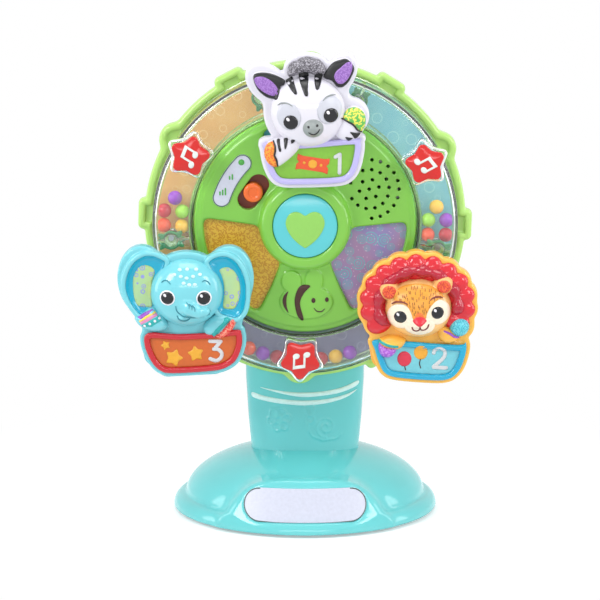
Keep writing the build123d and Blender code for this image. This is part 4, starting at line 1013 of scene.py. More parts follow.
# %% All of the hub in one field
def hub_moulding(x, y, z):
    r = np.hypot(x, z)
    floor_plate = np.maximum(r - HUB_RADIUS, np.maximum(HUB_FLOOR - y, y - HUB_PLATE))
    skirt = np.maximum(np.abs(r - HUB_RADIUS + 1.0) - 1.0, np.maximum(HUB_PLATE - y - 1.0, y + 26.5))
    lip = plate(np.abs(r - LIP_RADIUS) - 2.4, y, LIP_FRONT, LOBE_BACK, 1.3)
    openings = np.minimum(np.minimum(window(x, z, LEFT_WINDOW), window(x, z, RIGHT_WINDOW)),
                          window(x, z, TOP_WINDOW))
    lobes = plate(carve(np.maximum(24.0 - r, r - 66.0), openings, 1.5), y, LOBE_FRONT, LOBE_BACK, 1.4)
    body, wings = bee_flat(x, z)
    bee = plate(join(body, wings, 0.8), y, LOBE_FRONT - 1.3, LOBE_BACK, 0.9)
    face = np.minimum(floor_plate, skirt)
    for part, fillet in ((lip, 0.6), (lobes, 1.2), (bee, 0.6), (button_ring(r, y), 1.6)):
        face = join(face, part, fillet)
    face = np.maximum(face, BUTTON_HOLE - r)
    face = carve(face, near_line(x, z, SWITCH_ENDS) - SLOT_HALF, 0.5)
    for hx, hz in HOLES:
        face = np.maximum(face, HOLE_RADIUS - np.hypot(x - SPEAKER[0] - hx, z - SPEAKER[1] - hz))
    return face


hub_face = skin("hub_face", "stand", hub_moulding, (-70.5, -54.5, -70.5), (70.5, -26, 70.5), hub_green_abs,
                AXLE)
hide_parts("hub_front")
finish_as(dash_sheet, "left_sticker")
finish_as(ring_sheet, "right_sticker")
finish_as(top_sheet, "top_sticker")
finish_as(inks["label"], "switch_label")

# %% [markdown]
# ## The hub's printing, knob and button
# The bee is printed over its relief. The knob slides in its slot, past a pale
# strip with small signs; the plate under the knob is drawn dark brown, painted
# shade deep in the slot. The button is a blue cap with a heart that lights up.

# %% Print the bee
bee_left = [(-10.6, -42.8), (-13.2, -45.4), (-14.1, -48.9), (-13.0, -53.0), (-10.4, -56.4), (-11.5, -52.5),
            (-11.7, -47.2)]
bee_right = [(-3.2, -39.4), (3.2, -39.2), (-0.9, -44.1), (-3.2, -50.6), (-0.9, -60.7), (-3.6, -60.4),
             (-5.9, -54.3), (-6.4, -46.9)]
film("bee_stripes", "stand", [curve(bee_left), curve(bee_right)], hub_moulding, inks["bee_brown"], AXLE,
     spacing=0.9, lift=2.2)
film("bee_face", "stand", [disc(5.2, -48.5, 1.25, 1.6), disc(13.6, -48.0, 1.15, 1.5),
                           stroke([(5.6, -53.6), (7.4, -55.4), (10.2, -55.6), (12.2, -53.9)], 0.7, 0.4)],
     hub_moulding, inks["bee_brown"], AXLE, spacing=0.7, lift=1.6)


# %% Print the switch strip
STRIP_OUT, STRIP_IN = 60.2, 49.0
STRIP_FROM, STRIP_TO = 135.5, 162.5


def above_strip(x, y, z):
    """The plane of the switch strip, as a field that is negative behind it."""
    return LOBE_FRONT - 0.42 - y + 0 * x + 0 * z


film("switch_dot", "stand", [disc(-39.7, 39.0, 1.9)], above_strip, inks["sound_green"], AXLE)
signs = []
for sign_x, sign_z, bars in ((-46.2, 30.4, 2), (-51.4, 20.6, 3)):
    for i in range(bars):
        tall = 1.6 + 1.1 * i
        along = sign_x + 1.7 * (i - (bars - 1) / 2)
        signs.append(stroke([(along, sign_z - 2.0), (along, sign_z - 2.0 + tall)], 0.95, smooth_line=False))
film("strip_signs", "stand", signs, above_strip, inks["sound_green"], AXLE, spacing=0.8)
strip_edge = []
for radius, first, last, half_turn in ((STRIP_OUT - RIM_INSET, STRIP_FROM, STRIP_TO, 0),
                                       (STRIP_IN + RIM_INSET, STRIP_TO, STRIP_FROM, 180)):
    strip_edge += [polar(radius, a) for a in np.linspace(first, last, 16)]
    end_cap = [polar(5.25, last + half_turn + t) for t in np.linspace(10, 170, 12)]
    strip_edge += laid(end_cap, *polar((STRIP_OUT + STRIP_IN) / 2, last))
halfway = len(strip_edge) // 2
for number, run in enumerate((strip_edge[:halfway + 1], strip_edge[halfway:] + strip_edge[:1])):
    film("strip_rim_%d" % number, "stand", [stroke(run, 0.55, smooth_line=False)], above_strip,
         inks["outline"], AXLE, spacing=1.5)

# %% Knob
knob_place = (SWITCH[0], AXLE_Z + SWITCH[1])
knob_profile = rounded([(0, -37.3, 0), (6.1, -37.3, 0), (6.1, -46.6, 1.6), (3.4, -46.6, 0.6),
                        (2.8, -46.1, 0.4), (0, -46.0, 0)])
knob = turn("knob_cap", "switch", knob_profile, orange_abs, knob_place, 64)
slider = stroke([polar(d, SWITCH_TURN) for d in (-9.0, 0.0, 9.0)], 16.8, smooth_line=False)
# The slider plate is orange plastic deep in the slot; its dark brown is painted shade.
cut("knob_slider", "switch", slider, -35.7, -37.4, painted_slot_shade_abs, knob_place, edge=0.3)
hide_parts("switch_knob")

# %% Heart button
BUTTON_RIM, CROWN = -52.3, 2.2


def button_crown(x, y, z):
    """The lens-shaped crown: a shallow ball that meets the button's rim."""
    ball = (BUTTON_RADIUS ** 2 + CROWN ** 2) / (2 * CROWN)
    return np.sqrt(x ** 2 + (y - BUTTON_RIM + CROWN - ball) ** 2 + z ** 2) - ball


crown_radii = [19.0 * (1 - t) for t in np.linspace(0, 1, 14)]
cap_profile = [(0, -50.0), (18.2, -50.0), (18.2, -39.2), (20.15, -39.2), (20.15, -51.0), (20.0, -51.9),
               (19.6, BUTTON_RIM)]
cap_profile += [(r, BUTTON_RIM - CROWN * (1 - (r / BUTTON_RADIUS) ** 2)) for r in crown_radii]
button_cap = turn("button_cap", "button", cap_profile, button_blue_abs, AXLE, 128)
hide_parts("heart_button")

heart_half = [(3.2, 8.8), (6.6, 9.3), (10.0, 7.6), (12.0, 3.6), (11.6, -0.8), (8.6, -6.3), (4.4, -10.6),
              (0.9, -13.2)]
heart = [(0.0, 7.0)] + heart_half + [(0.0, -13.6)] + [(-x, z) for x, z in heart_half[::-1]]
lens = film("heart_light", "button", [curve(heart, 5)], button_crown, heart_green, AXLE, spacing=1.0,
            lift=2.0)
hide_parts("heart_lens")
print("hub", len(hub_face.data.polygons), "faces")

# %% [markdown]
# ## The wheel's green ring
# The ring is one moulding: a flat web that turns on the spindle, and a round rim
# with six low grips and six bulges. The rim loops outward round each bulge.

# %% Green ring
GRIPS = [60 * i + TILT for i in range(6)]
GRIP_HALF, GRIP_REACH, GRIP_ROUND = 9.8, 3.9, 3.4
BULGES = [60 * i + 30 + TILT for i in range(6)]
BULGE_RADIUS, BULGE_REACH = 10.6, 5.0
WEB_HOLE = 62.3
SCREW_HOLE, SCREW_HEAD = 1.65, 2.95


def rim_plan(x, z):
    """Distance to the ring's outer outline."""
    plan = np.hypot(x, z) - RIM_RADIUS
    for angle in GRIPS:
        u, v = spin(x, z, -angle)
        pad = corner(np.abs(v) - GRIP_HALF + GRIP_ROUND,
                     u - RIM_RADIUS - GRIP_REACH + GRIP_ROUND) - GRIP_ROUND
        plan = join(plan, np.maximum(pad, 60 - u), 1.6)
    for angle in BULGES:
        cx, cz = polar(RIM_RADIUS + BULGE_REACH - BULGE_RADIUS, angle)
        plan = join(plan, np.hypot(x - cx, z - cz) - BULGE_RADIUS, 2.4)
    return plan


def ring_with_seats(x, y, z):
    plan = rim_plan(x, z)
    web = plate(np.maximum(plan + 0.4, WEB_HOLE - np.hypot(x, z)), y, WEB_FRONT, WEB_BACK, 0.8)
    rim = plate(np.abs(plan + 2.3) - 2.3, y, RIM_FRONT - 0.4, WEB_BACK, 2.1)
    ring = join(web, rim, 1.0)
    for angle in POSTS:
        sx, sz = polar(FITTING_RADIUS, angle)
        away = np.hypot(x - sx, z - sz)
        head = np.maximum(away - SCREW_HEAD, WEB_BACK - 1.6 - y)
        ring = np.maximum(ring, -np.minimum(away - SCREW_HOLE, head))
    return ring


green_ring = skin("green_ring", "wheel", ring_with_seats, (-107, -30.6, -107), (107, -20, 107), lime_abs,
                  AXLE, step=STEP * 1.15)
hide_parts("wheel_back_ring")

# %% [markdown]
# ## The clear bead channel
# A clear ring with a wall of two millimetres covers the channel. It is turned, so
# its edges are exact circles that catch the lamps as long streaks. Inside it stand
# six clear posts with thin walls, which keep the beads in three rooms.

# %% Channel cover
OUTER_WALL, INNER_WALL = CHANNEL_OUT - CHANNEL_WALL, CHANNEL_IN + CHANNEL_WALL
SEAT = WEB_FRONT - 0.02
outside = rounded([(CHANNEL_IN, SEAT, 0), (CHANNEL_IN, COVER_FRONT, 2.6), (CHANNEL_OUT, COVER_FRONT, 3.4),
                   (CHANNEL_OUT, SEAT, 0)], 9)
inside = rounded([(OUTER_WALL, SEAT, 0), (OUTER_WALL, CHANNEL_FRONT, 1.8), (INNER_WALL, CHANNEL_FRONT, 1.2),
                  (INNER_WALL, SEAT, 0)], 7)
cover = turn("channel_cover", "wheel", outside + inside, clear_pc, AXLE, 256)
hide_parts("wheel_clear_cover")

# %% Screw posts and room walls
ROOT, LID = WEB_FRONT - 0.05, CHANNEL_FRONT + 0.08
POST_HOLE, POST_RADIUS = 1.7, 4.0
WALL_HALF, WALL_GAP = 0.75, 0.15
post = rounded([(POST_HOLE, ROOT, 0), (POST_RADIUS, ROOT, 0), (POST_RADIUS, LID, 0.5), (0, LID, 0),
                (0, WEB_FRONT - 9.1, 0), (POST_HOLE, WEB_FRONT - 9.0, 0)])
wall_spans = ((INNER_WALL + 0.1, FITTING_RADIUS - POST_RADIUS - WALL_GAP),
              (FITTING_RADIUS + POST_RADIUS + WALL_GAP, OUTER_WALL - 0.1))
for number, angle in enumerate(POSTS):
    px, pz = polar(FITTING_RADIUS, angle)
    turn("screw_post_%d" % number, "wheel", post, clear_pc, (px, AXLE_Z + pz), 48)
    for side, (near, far) in enumerate(wall_spans):
        box = [(near, -WALL_HALF), (far, -WALL_HALF), (far, WALL_HALF), (near, WALL_HALF)]
        cut("room_wall_%d_%d" % (number, side), "wheel", laid(box, 0.0, 0.0, angle), ROOT, LID, clear_pc,
            AXLE, edge=0.15)

# %% Seats of the gondola pins
PIN_HOLE, BOSS_RADIUS, BOSS_FRONT = 2.05, 6.0, -57.2
boss = rounded([(PIN_HOLE, COVER_FRONT - 0.04, 0), (BOSS_RADIUS, COVER_FRONT - 0.04, 0),
                (BOSS_RADIUS, BOSS_FRONT, 0.5), (PIN_HOLE, BOSS_FRONT, 0)])
socket = rounded([(PIN_HOLE, LID, 0), (PIN_HOLE, -41.9, 0), (0, -41.8, 0), (0, ROOT, 0),
                  (BOSS_RADIUS, ROOT, 0), (BOSS_RADIUS, LID, 0)])
for number, angle in enumerate((90 + TILT, 210 + TILT, 330 + TILT)):
    px, pz = polar(PIN_RADIUS, angle)
    turn("pin_boss_%d" % number, "wheel", boss, clear_pc, (px, AXLE_Z + pz), 64)
    turn("pin_socket_%d" % number, "wheel", socket, clear_pc, (px, AXLE_Z + pz), 64)

# %% [markdown]
# ## What shows through the channel
# A printed sheet lies at the back of each room: warm orange, teal and a greyed
# violet. Leafy green clips sit round the posts, just behind the clear front.

# %% Channel sheets
sheets = nodes["channel_stickers"]
sheets.data.materials.clear()
for sheet in channel_sheets:
    sheets.data.materials.append(sheet)
for face in sheets.data.polygons:
    where = math.degrees(math.atan2(face.center.z - AXLE_Z * MM, face.center.x))
    face.material_index = min(range(3), key=lambda i: abs((where - STARS[i] + 180) % 360 - 180))

# %% Leafy clips
CLIP_BACK, CLIP_FRONT = -43.4, -45.2


def leaf_plan(x, z, angle):
    u, v = spin(x, z, -angle)
    u = u - FITTING_RADIUS
    body = np.hypot(u, v) - 6.0
    for side in (-1, 1):
        for lift, far, bend in ((0.0, 6.6, 0.0), (2.8, 5.0, 40.0), (-2.8, 5.0, -40.0)):
            body = join(body, oval(u, v, side * far, lift, 3.4, 1.7, side * bend), 0.7)
    body = np.maximum(body, 4.2 - np.hypot(u, v))
    body = np.maximum(body, 0.95 - np.abs(v))
    r = np.hypot(x, z)
    return np.maximum(body, np.maximum(r - CHANNEL_OUT + 2.4, CHANNEL_IN + 2.4 - r))


for number, angle in enumerate(POSTS):
    px, pz = polar(FITTING_RADIUS, angle)
    clip = skin("leafy_clip_%d" % number, "wheel",
                lambda x, y, z: plate(leaf_plan(x, z, angle), y, CLIP_FRONT, CLIP_BACK, 0.7),
                (px - 12, -45.9, pz - 12), (px + 12, -42.8, pz + 12), leaf_green_abs, AXLE, step=STEP * 0.8)
    if number == 0:
        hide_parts("leaf_sprigs")

# %% [markdown]
# ## Stars
# A red star with puffy arms sits in a clear star that stands on the channel. Each
# carries a pair of pale notes, with their beam towards the rim.

# %% Star outlines
STAR_POINTS = 10               # five tips and the five corners between them


def star_corners(outer, inner, degrees):
    return [polar(inner if i % 2 else outer, degrees + 36 * i) for i in range(STAR_POINTS)]


def star_plan(x, z, cx, cz, outer, degrees, deep, soft):
    """Distance to a star whose corners are rounded by soft."""
    corners = star_corners(outer - soft * 1.2, (outer - soft) * deep, degrees)
    return polygon(x, z, laid(corners, cx, cz)) - soft


def star_outline(outer, degrees, deep, pull):
    """A star whose corners are cut back by a share of each side, and bent."""
    raw = [np.array(p) for p in star_corners(outer, outer * deep, degrees)]
    out = []
    for i, here in enumerate(raw):
        before, after = raw[i - 1], raw[(i + 1) % STAR_POINTS]
        start, end = here + (before - here) * pull, here + (after - here) * pull
        out += [bend(start, here, end, t) for t in np.linspace(0, 1, 7)]
    return out


# %% Stars, their clear seats and notes
NOTE_PARTS = (
    [(-3.2, 2.6), (4.6, 4.0), (4.6, 6.2), (-3.2, 4.8)],
    [(-3.2, -3.4), (-1.9, -3.4), (-1.9, 2.9), (-3.2, 2.7)],
    [(3.3, -2.2), (4.6, -2.2), (4.6, 4.1), (3.3, 3.8)],
    disc(-3.9, -3.6, 2.2, 1.75, 20), disc(2.7, -2.4, 2.2, 1.75, 20))


def puffy_star(cx, cz, angle):
    def field(x, y, z):
        plan = star_plan(x, z, cx, cz, 13.2, angle, deep=0.6, soft=3.2)
        height = BADGE_FRONT + 0.2 - 1.3 * np.clip(-plan / 5.0, 0, 1) ** 0.6
        return np.maximum(plate(plan, y, BADGE_FRONT - 3.0, STAR_SEAT - 0.03, 1.2), (height - y) * 0.8)
    return field


for number, angle in enumerate(STARS):
    cx, cz = polar(FITTING_RADIUS, angle)
    star = puffy_star(cx, cz, angle)
    badge = skin("star_badge_%d" % number, "wheel", star, (cx - 13.5, -58.4, cz - 13.5),
                 (cx + 13.5, -53.2, cz + 13.5), star_red_abs, AXLE, step=STEP * 0.75)
    cut("star_seat_%d" % number, "wheel", laid(star_outline(17.0, angle, 0.64, 0.42), cx, cz),
        COVER_FRONT - 0.04, STAR_SEAT, clear_pc, AXLE, edge=1.8)
    notes = film("notes_%d" % number, "wheel", [laid(part, cx, cz, angle - 90) for part in NOTE_PARTS], star,
                 inks["note"], AXLE, spacing=0.9, lift=1.6)
    if number == 0:
        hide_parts("star_badges")
        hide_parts("star_notes")

# %% [markdown]
# ## Beads
# Each bead is a glossy ball of nine millimetres. They lie where gravity leaves them:
# two heaps on the clear walls beside the upper stars, and a row at the bottom.

# %% Beads
BEAD = 4.5                     # a bead's radius
BEAD_GAP = 0.15
OUTER_ROW, INNER_ROW = OUTER_WALL - BEAD - 0.5, INNER_WALL + BEAD + 0.6
BEAD_Y = (WEB_FRONT + CHANNEL_FRONT) / 2
OUTER_STEP = math.degrees(2 * math.asin((BEAD + BEAD_GAP) / OUTER_ROW))
INNER_STEP = math.degrees(2 * math.asin((BEAD + BEAD_GAP) / INNER_ROW))


def heap(wall, side):
    """Five beads heaped on a wall: two rows of two, and one on top."""
    outer = wall + side * math.degrees(math.asin((POST_RADIUS + BEAD + BEAD_GAP) / OUTER_ROW))
    inner = wall + side * math.degrees(math.asin((BEAD + 1.0) / INNER_ROW))
    places = [(OUTER_ROW, outer + side * i * OUTER_STEP) for i in range(2)]
    places += [(INNER_ROW, inner + side * (i * INNER_STEP + 0.8)) for i in range(2)]
    return places + [((OUTER_ROW + INNER_ROW) / 2, outer + side * (OUTER_STEP + 5.9))]


# %% Fill the rooms
rooms = {
    "left": (heap(STARS[0] + POST_TURN, -1), ("orange", "red", "yellow", "green", "purple")),
    "right": (heap(STARS[1] - POST_TURN, 1), ("red", "purple", "orange", "green", "yellow")),
    "bottom": ([(OUTER_ROW, 267.5 + (i - 3.5) * OUTER_STEP) for i in range(8)],
               ("orange", "purple", "red", "green", "orange", "red", "yellow", "purple")),
}
for room, (places, colours) in rooms.items():
    for number, ((radius, angle), colour) in enumerate(zip(places, colours)):
        mesh = bpy.data.meshes.new("bead_%s_%d" % (room, number))
        ball = bmesh.new()
        bmesh.ops.create_uvsphere(ball, u_segments=40, v_segments=24, radius=BEAD * MM)
        ball.to_mesh(mesh)
        ball.free()
        smooth(mesh)
        mesh.materials.append(bead_abs[colour])
        bead = put(mesh.name, mesh)
        bx, bz = polar(radius, angle)
        bead.location = (bx * MM, BEAD_Y * MM, (AXLE_Z + bz) * MM)
        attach(bead, room + "_beads")
        if number == 0:
            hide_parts("beads_" + room)
print(sum(len(places) for places, _ in rooms.values()), "beads in", len(rooms), "rooms")

# %% [markdown]
# ## How the three animals are built
# Each gondola is a flat plaque of two shells that hangs on its pin. On its front
# sit a hollow head, ears, two arms and a basket with a raised rim. The soft low
# shapes are pillows: an outline that swells towards its middle.

# %% Pillows and limbs
FINE = STEP * 0.85


def pillow(plan, y, height, soft):
    """A flat outline that swells forward by height, reached at a depth of soft inside it."""
    t = np.clip(-plan / soft, 0, 1)
    top = PLAQUE - height * np.sqrt(1 - (1 - t) ** 2)
    return np.maximum(np.maximum(top - y, y - PLAQUE), plan)


def limb(x, y, z, joints):
    """A round-ended tapered limb through points of (x, y, z, radius)."""
    nearest = 1e9
    for a, b in zip(joints, joints[1:]):
        e = np.array(b[:3]) - np.array(a[:3])
        t = np.clip(((x - a[0]) * e[0] + (y - a[1]) * e[1] + (z - a[2]) * e[2]) / (e @ e), 0, 1)
        away = np.sqrt((x - a[0] - t * e[0]) ** 2 + (y - a[1] - t * e[1]) ** 2 + (z - a[2] - t * e[2]) ** 2)
        nearest = np.minimum(nearest, away - a[3] - t * (b[3] - a[3]))
    return nearest


def soft_shape(x, z, points):
    """Distance to a smooth closed outline."""
    return polygon(x, z, [tuple(p) for p in curve(points, 4)])


def basket_plan(x, z, points):
    """Half a millimetre inside the basket rim's outer edge."""
    return soft_shape(x, z, points) + 0.5


# %% Plaque, basket and panel
RIM_RISE = 3.0                 # the basket's rim stands this far in front of the plaque
PIN_ROOM = 9.0
BACK_FACE = 57.55


def dress_gondola(name, at, hang, plan, corners, shell, frame_finish, panel_finish, rims=None,
                  own_back=False):
    """Front shell, basket rim and panel of a gondola. Returns the field of all three."""
    body = name + "_gondola"
    pin = (-hang[0], -hang[1])

    def plaque(x, y, z):
        face = plate(plan(x, z) - 3.0, y, PLAQUE, SPLIT + 0.02, 1.7)
        return join(face, rims(x, y, z), 1.2) if rims else face

    def plaque_shell(x, y, z):
        room = np.maximum(np.hypot(x - pin[0], z - pin[1]) - PIN_ROOM, PLAQUE + 1.8 - y)
        return np.maximum(plaque(x, y, z), -room)

    def back_half(x, y, z):
        bore = np.hypot(x - pin[0], z - pin[1])
        half = plate(plan(x, z) - 3.0, -y, BACK_FACE, -SPLIT - 0.05, 1.5)
        return np.maximum(half, -np.minimum(bore - 2.06, np.maximum(bore - PIN_ROOM, y + 61.3)))

    def basket_rim(x, y, z):
        hull = basket_plan(x, z, corners)
        return plate(np.abs(hull + 1.4) - 1.9, y, PLAQUE - RIM_RISE, PLAQUE, 1.5)

    def basket_panel(x, y, z):
        return plate(basket_plan(x, z, corners) + 3.0, y, PLAQUE - 0.8, PLAQUE - 0.02, 0.2)

    for part, node, field, low, high, finish in (
            ("_plaque", "_front_shell", plaque_shell, (-46, -72, -64), (46, -60.8, 36), shell),
            ("_basket_rim", "_basket", basket_rim, (-46, -70.5, -64), (46, -65, -16), frame_finish),
            ("_basket_panel", "_panel", basket_panel, (-46, -67.6, -64), (46, -65.2, -16), panel_finish)):
        piece = skin(name + part, body, field, low, high, finish, at, FINE)
        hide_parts(name + node)
    if own_back:
        back = skin(name + "_plaque_back", body, back_half, (-46, -66, -64), (46, -56.5, 36), shell, at,
                    FINE)
        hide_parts(name + "_back_shell")
    else:
        finish_as(shell, name + "_back_shell")
    return lambda x, y, z: union(plaque(x, y, z), basket_rim(x, y, z), basket_panel(x, y, z))


# %% An animal's forms and prints
def skin_forms(name, at, low, high, rows):
    """A row is a form's own name, its field, its finish, and the node it stands for."""
    for form, field, finish, node in rows:
        piece = skin(name + form, name + "_gondola", field, low, high, finish, at, FINE)
        if node:
            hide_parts(name + node)


def printer(name, at, field):
    """A function that lays prints on one animal's front."""
    def lay(part, outlines, ink, **more):
        return film("%s_%s" % (name, part), name + "_gondola", outlines, field, ink, at, **more)
    return lay


def eyes(lay, places, radius, ring=None):
    if ring:
        lay("eye_rings", [disc(x, z, radius * 1.2) for x, z in places], ring)
    lay("eyes", [disc(x, z, radius) for x, z in places], eye_gloss, lift=2.0)
    # The white dot on each eye is a painted highlight.
    lay("eye_glints", [disc(x - radius * 0.38, z + radius * 0.4, radius * 0.2, radius * 0.27, 35)
                       for x, z in places], inks["white"], spacing=0.6, lift=3.0)


def digit(lay, runs):
    lay("number", [stroke(run, 2.3, smooth_line=len(run) > 3) for run in runs], inks["pale_grey"],
        spacing=1.0, lift=2.0)


# %% [markdown]
# ## The zebra
# White ABS of a cool tone, with grey painted shade round the eyes. Its head, ears and
# mane are one bright moulding; the stripes, brows and the grey muzzle are printed, and
# the mane is glitter paint.

# %% Zebra outlines
ZEBRA_AT = (0.99, AXLE_Z + 84.35)
ZEBRA_BASKET = [(-25.4, -28.6), (-2, -29.0), (30.5, -26.4), (33.2, -29.0), (33.0, -36), (30.6, -46),
                (26.0, -52.2), (18, -54.6), (-4, -55.4), (-15.5, -55.0), (-21.0, -51.5), (-24.6, -44),
                (-26.4, -35)]
EAR_LEFT = [(-33, 11.6), (-31.9, 13.7), (-27.8, 14.6), (-22.8, 14.1), (-17.9, 12.4), (-14.1, 10.3),
            (-13.2, 8.7), (-14.1, 6.8), (-16.1, 5.7), (-17.1, 1.7), (-18.5, -1.7), (-21, -1.8),
            (-24.7, -0.8), (-29.1, 2.6), (-31.9, 7.1)]
EAR_RIGHT = [(24.8, 22.8), (20.1, 22.4), (15.8, 20.5), (12.3, 16.4), (10.1, 12.2), (11.7, 10.6), (15.4, 9.3),
             (18.2, 6), (20.1, 5.3), (22.6, 5.8), (25.4, 8.4), (27.5, 11.9), (29.1, 17.6)]
MANE = [(-11.4, 12.8), (-11.5, 15.7), (-10.7, 18.6), (-8.5, 20.7), (-5.4, 21.8), (-2.9, 23.3), (0.8, 23.7),
        (3.9, 22.9), (7, 22.1), (9.5, 20.2), (10.9, 17.6), (11.3, 15.1), (9.8, 13.7), (7.3, 14.3),
        (4.9, 13.4), (0.8, 14.7), (-2.3, 15), (-5.2, 13.8), (-7.9, 12.8), (-9.8, 12.4)]
ZEBRA_ARM = [(-24, -28.2), (-18, -25.6), (-10.5, -24.6), (-4, -26.6), (-3.4, -30.8), (-7.6, -36.6),
             (-13, -41.4), (-18.2, -44.6), (-22.4, -43.4), (-25.6, -39.6), (-26.6, -35), (-26.2, -31)]
ZEBRA_HAND = [(20, -13.8), (22.2, -9.6), (26, -6.6), (31, -6.2), (34.6, -8.4), (36.6, -12.4), (36.4, -18),
              (34.4, -22.8), (32.2, -26.2), (28, -28), (22, -28), (17.6, -25), (17.4, -19)]


# %% Zebra forms
def zebra_plan(x, z):
    plan = oval(x, z, 0.8, -9.9, 24.6, 23.4)
    plan = join(plan, oval(x, z, -23.4, 6.4, 13.4, 8.0, -40), 4.0)
    plan = join(plan, oval(x, z, 20.6, 13.0, 10.8, 6.4, 62), 4.0)
    plan = join(plan, oval(x, z, 0.2, 15.6, 11.6, 7.6), 2.5)
    plan = join(plan, oval(x, z, 26.6, -13.0, 9.0, 8.6), 2.5)
    return join(plan, basket_plan(x, z, ZEBRA_BASKET), 1.5)


def zebra_ears(x, y, z):
    left, right = soft_shape(x, z, EAR_LEFT) - 0.6, soft_shape(x, z, EAR_RIGHT) - 0.6
    return np.minimum(pillow(left, y, 2.6, 2.6), pillow(right, y, 2.6, 2.6))


def zebra_mane(x, y, z):
    return pillow(soft_shape(x, z, MANE) - 0.6, y, 6.0, 4.2)


def zebra_head(x, y, z):
    face = egg(x, y, z, 0.8, -9.9, 23.1, 22.0, 13.0)
    muzzle = egg(x, y, z, 3.9, -18.8, 7.6, 6.6, 16.4)
    return np.maximum(join(face, muzzle, 2.6), y - PLAQUE)


def zebra_arms(x, y, z):
    return np.minimum(pillow(soft_shape(x, z, ZEBRA_ARM), y, 6.5, 7.0),
                      pillow(soft_shape(x, z, ZEBRA_HAND), y, 5.6, 6.5))


# %% Skin the zebra
zebra_front = dress_gondola("zebra", ZEBRA_AT, (-1.9, 1.7), zebra_plan, ZEBRA_BASKET, white_abs, lilac_abs,
                            inks["panel_green"], own_back=True)
skin_forms("zebra", ZEBRA_AT, (-36, -84, -46), (40, -65.6, 26), (
    ("_face", zebra_head, white_abs, "_head"),
    ("_ear_cups", zebra_ears, white_abs, "_ears"),
    ("_tuft", zebra_mane, mane_glitter, None),
    ("_forelegs", zebra_arms, white_abs, "_arms")))


def zebra_all(x, y, z):
    head = join(zebra_head(x, y, z), zebra_mane(x, y, z), 1.0)
    return union(zebra_front(x, y, z), head, zebra_ears(x, y, z), zebra_arms(x, y, z))


zebra_print = printer("zebra", ZEBRA_AT, zebra_all)

# %% Print the zebra's ears and brow
zebra_print("ear_black", [curve(EAR_LEFT), curve(EAR_RIGHT)], inks["black"], lift=1.8)
zebra_print("ear_violet", [
    curve([(-32.2, 10.8), (-30.4, 12.0), (-26.6, 11.9), (-22.2, 9.7), (-18.9, 6.4), (-17.7, 3.6),
           (-17.9, 1.6), (-19.1, 0.5), (-21.6, 0.3), (-26, 2.2), (-30.0, 5.4), (-31.9, 8.6)]),
    curve([(26.9, 21.2), (28.0, 18.9), (27.5, 15.3), (25.5, 11.1), (22.4, 8.0), (19.6, 7.8), (17.9, 9.3),
           (16.8, 12.2), (17.9, 15.1), (20.9, 17.9), (24.0, 20.5)])], ear_violet, lift=3.0)
zebra_print("stripes", [
    curve([(-13, 9.3), (-11, 10.9), (-9.1, 11.8), (-7.9, 9), (-6.7, 5.5), (-6, 2.6), (-7.4, 2.3),
           (-9.1, 3.9), (-11.3, 6.8)]),
    curve([(-5.0, 13.7), (-2.3, 14.7), (0.8, 14.6), (1, 10.6), (0.6, 5.5), (0.8, 2), (-0.1, 1.2),
           (-1.2, 1.7), (-2.6, 4.9), (-4.3, 9.3)]),
    curve([(4.9, 13.2), (7.3, 14.1), (9.8, 13.7), (9, 10), (7.7, 6), (6.3, 4.9), (5.3, 6.1), (4.7, 9.3)])],
    inks["black"], lift=1.6)

# %% Print the zebra's face, and paint shade round its eyes
# The grey discs round the eyes are painted shade.
zebra_print("shades", [disc(-11.0, -11.6, 7.4, 8.6, 12), disc(14.0, -7.6, 7.6, 8.8, -12)], painted_eye_shade)
zebra_print("brows", [stroke([(-18, -4.8), (-16, -3.6), (-13.8, -3.2), (-11.3, -3.5), (-9, -4.8)], 0.95,
                             0.5),
                      stroke([(10, -1.3), (11.7, 0.3), (13.9, 1.3), (15.8, 1.6), (17.5, 1.5)], 0.95, 0.5)],
            inks["grey"], spacing=0.8, lift=2.0)
zebra_print("muzzle", [disc(3.9, -18.6, 6.4, 5.8)], inks["grey"], lift=1.6)
zebra_print("smile", [disc(1.0, -17.3, 0.75), disc(6.4, -16.4, 0.75),
                      stroke([(1.1, -20.9), (3, -22.0), (4.9, -22.0), (6.7, -20.8), (7.9, -18.9)], 0.8,
                             0.4)], inks["black"], spacing=0.6, lift=3.0)
eyes(zebra_print, [(-9.9, -15), (14.8, -10.7)], 4.5)

# %% Print the zebra's arms
zebra_print("arm_bars", [
    curve([(-18.5, -27), (-16.7, -26.5), (-16.4, -29.7), (-15.7, -33.4), (-16.9, -33.9), (-17.9, -30.6)]),
    curve([(-14.1, -26.2), (-11.8, -25.8), (-12.1, -29.7), (-12.9, -32.1), (-13.6, -32.1), (-14, -29)]),
    curve([(-9.6, -28.9), (-9.4, -26.4), (-7.2, -26.9), (-8.2, -28.4)]),
    curve([(26.6, -21.9), (29.6, -22.3), (33.1, -22.6), (31.3, -25.5), (29.6, -26.3), (28.2, -24.2)]),
    curve([(23.8, -25.2), (26, -25.5), (28.3, -26.1), (26, -27.7), (24.5, -27)])], inks["black"], lift=1.6)
zebra_print("hoof", [curve([(-20.6, -28.0), (-24.0, -29.2), (-25.8, -32.2), (-26.2, -36), (-25, -40),
                            (-22.2, -43), (-18.6, -44.2), (-18.9, -39.6), (-20.1, -36.6), (-19.6, -33.5),
                            (-19.7, -30.4)])], hoof_print, lift=1.6)
zebra_print("hand", [curve([(22.5, -13.4), (23.4, -10), (25.7, -7.6), (30.1, -6.9), (33.6, -8.6),
                            (35.9, -12), (36.1, -16.9), (34.1, -21.4), (31.3, -20.2), (28.8, -17),
                            (25.4, -15.5)])], green_hand, lift=1.6)
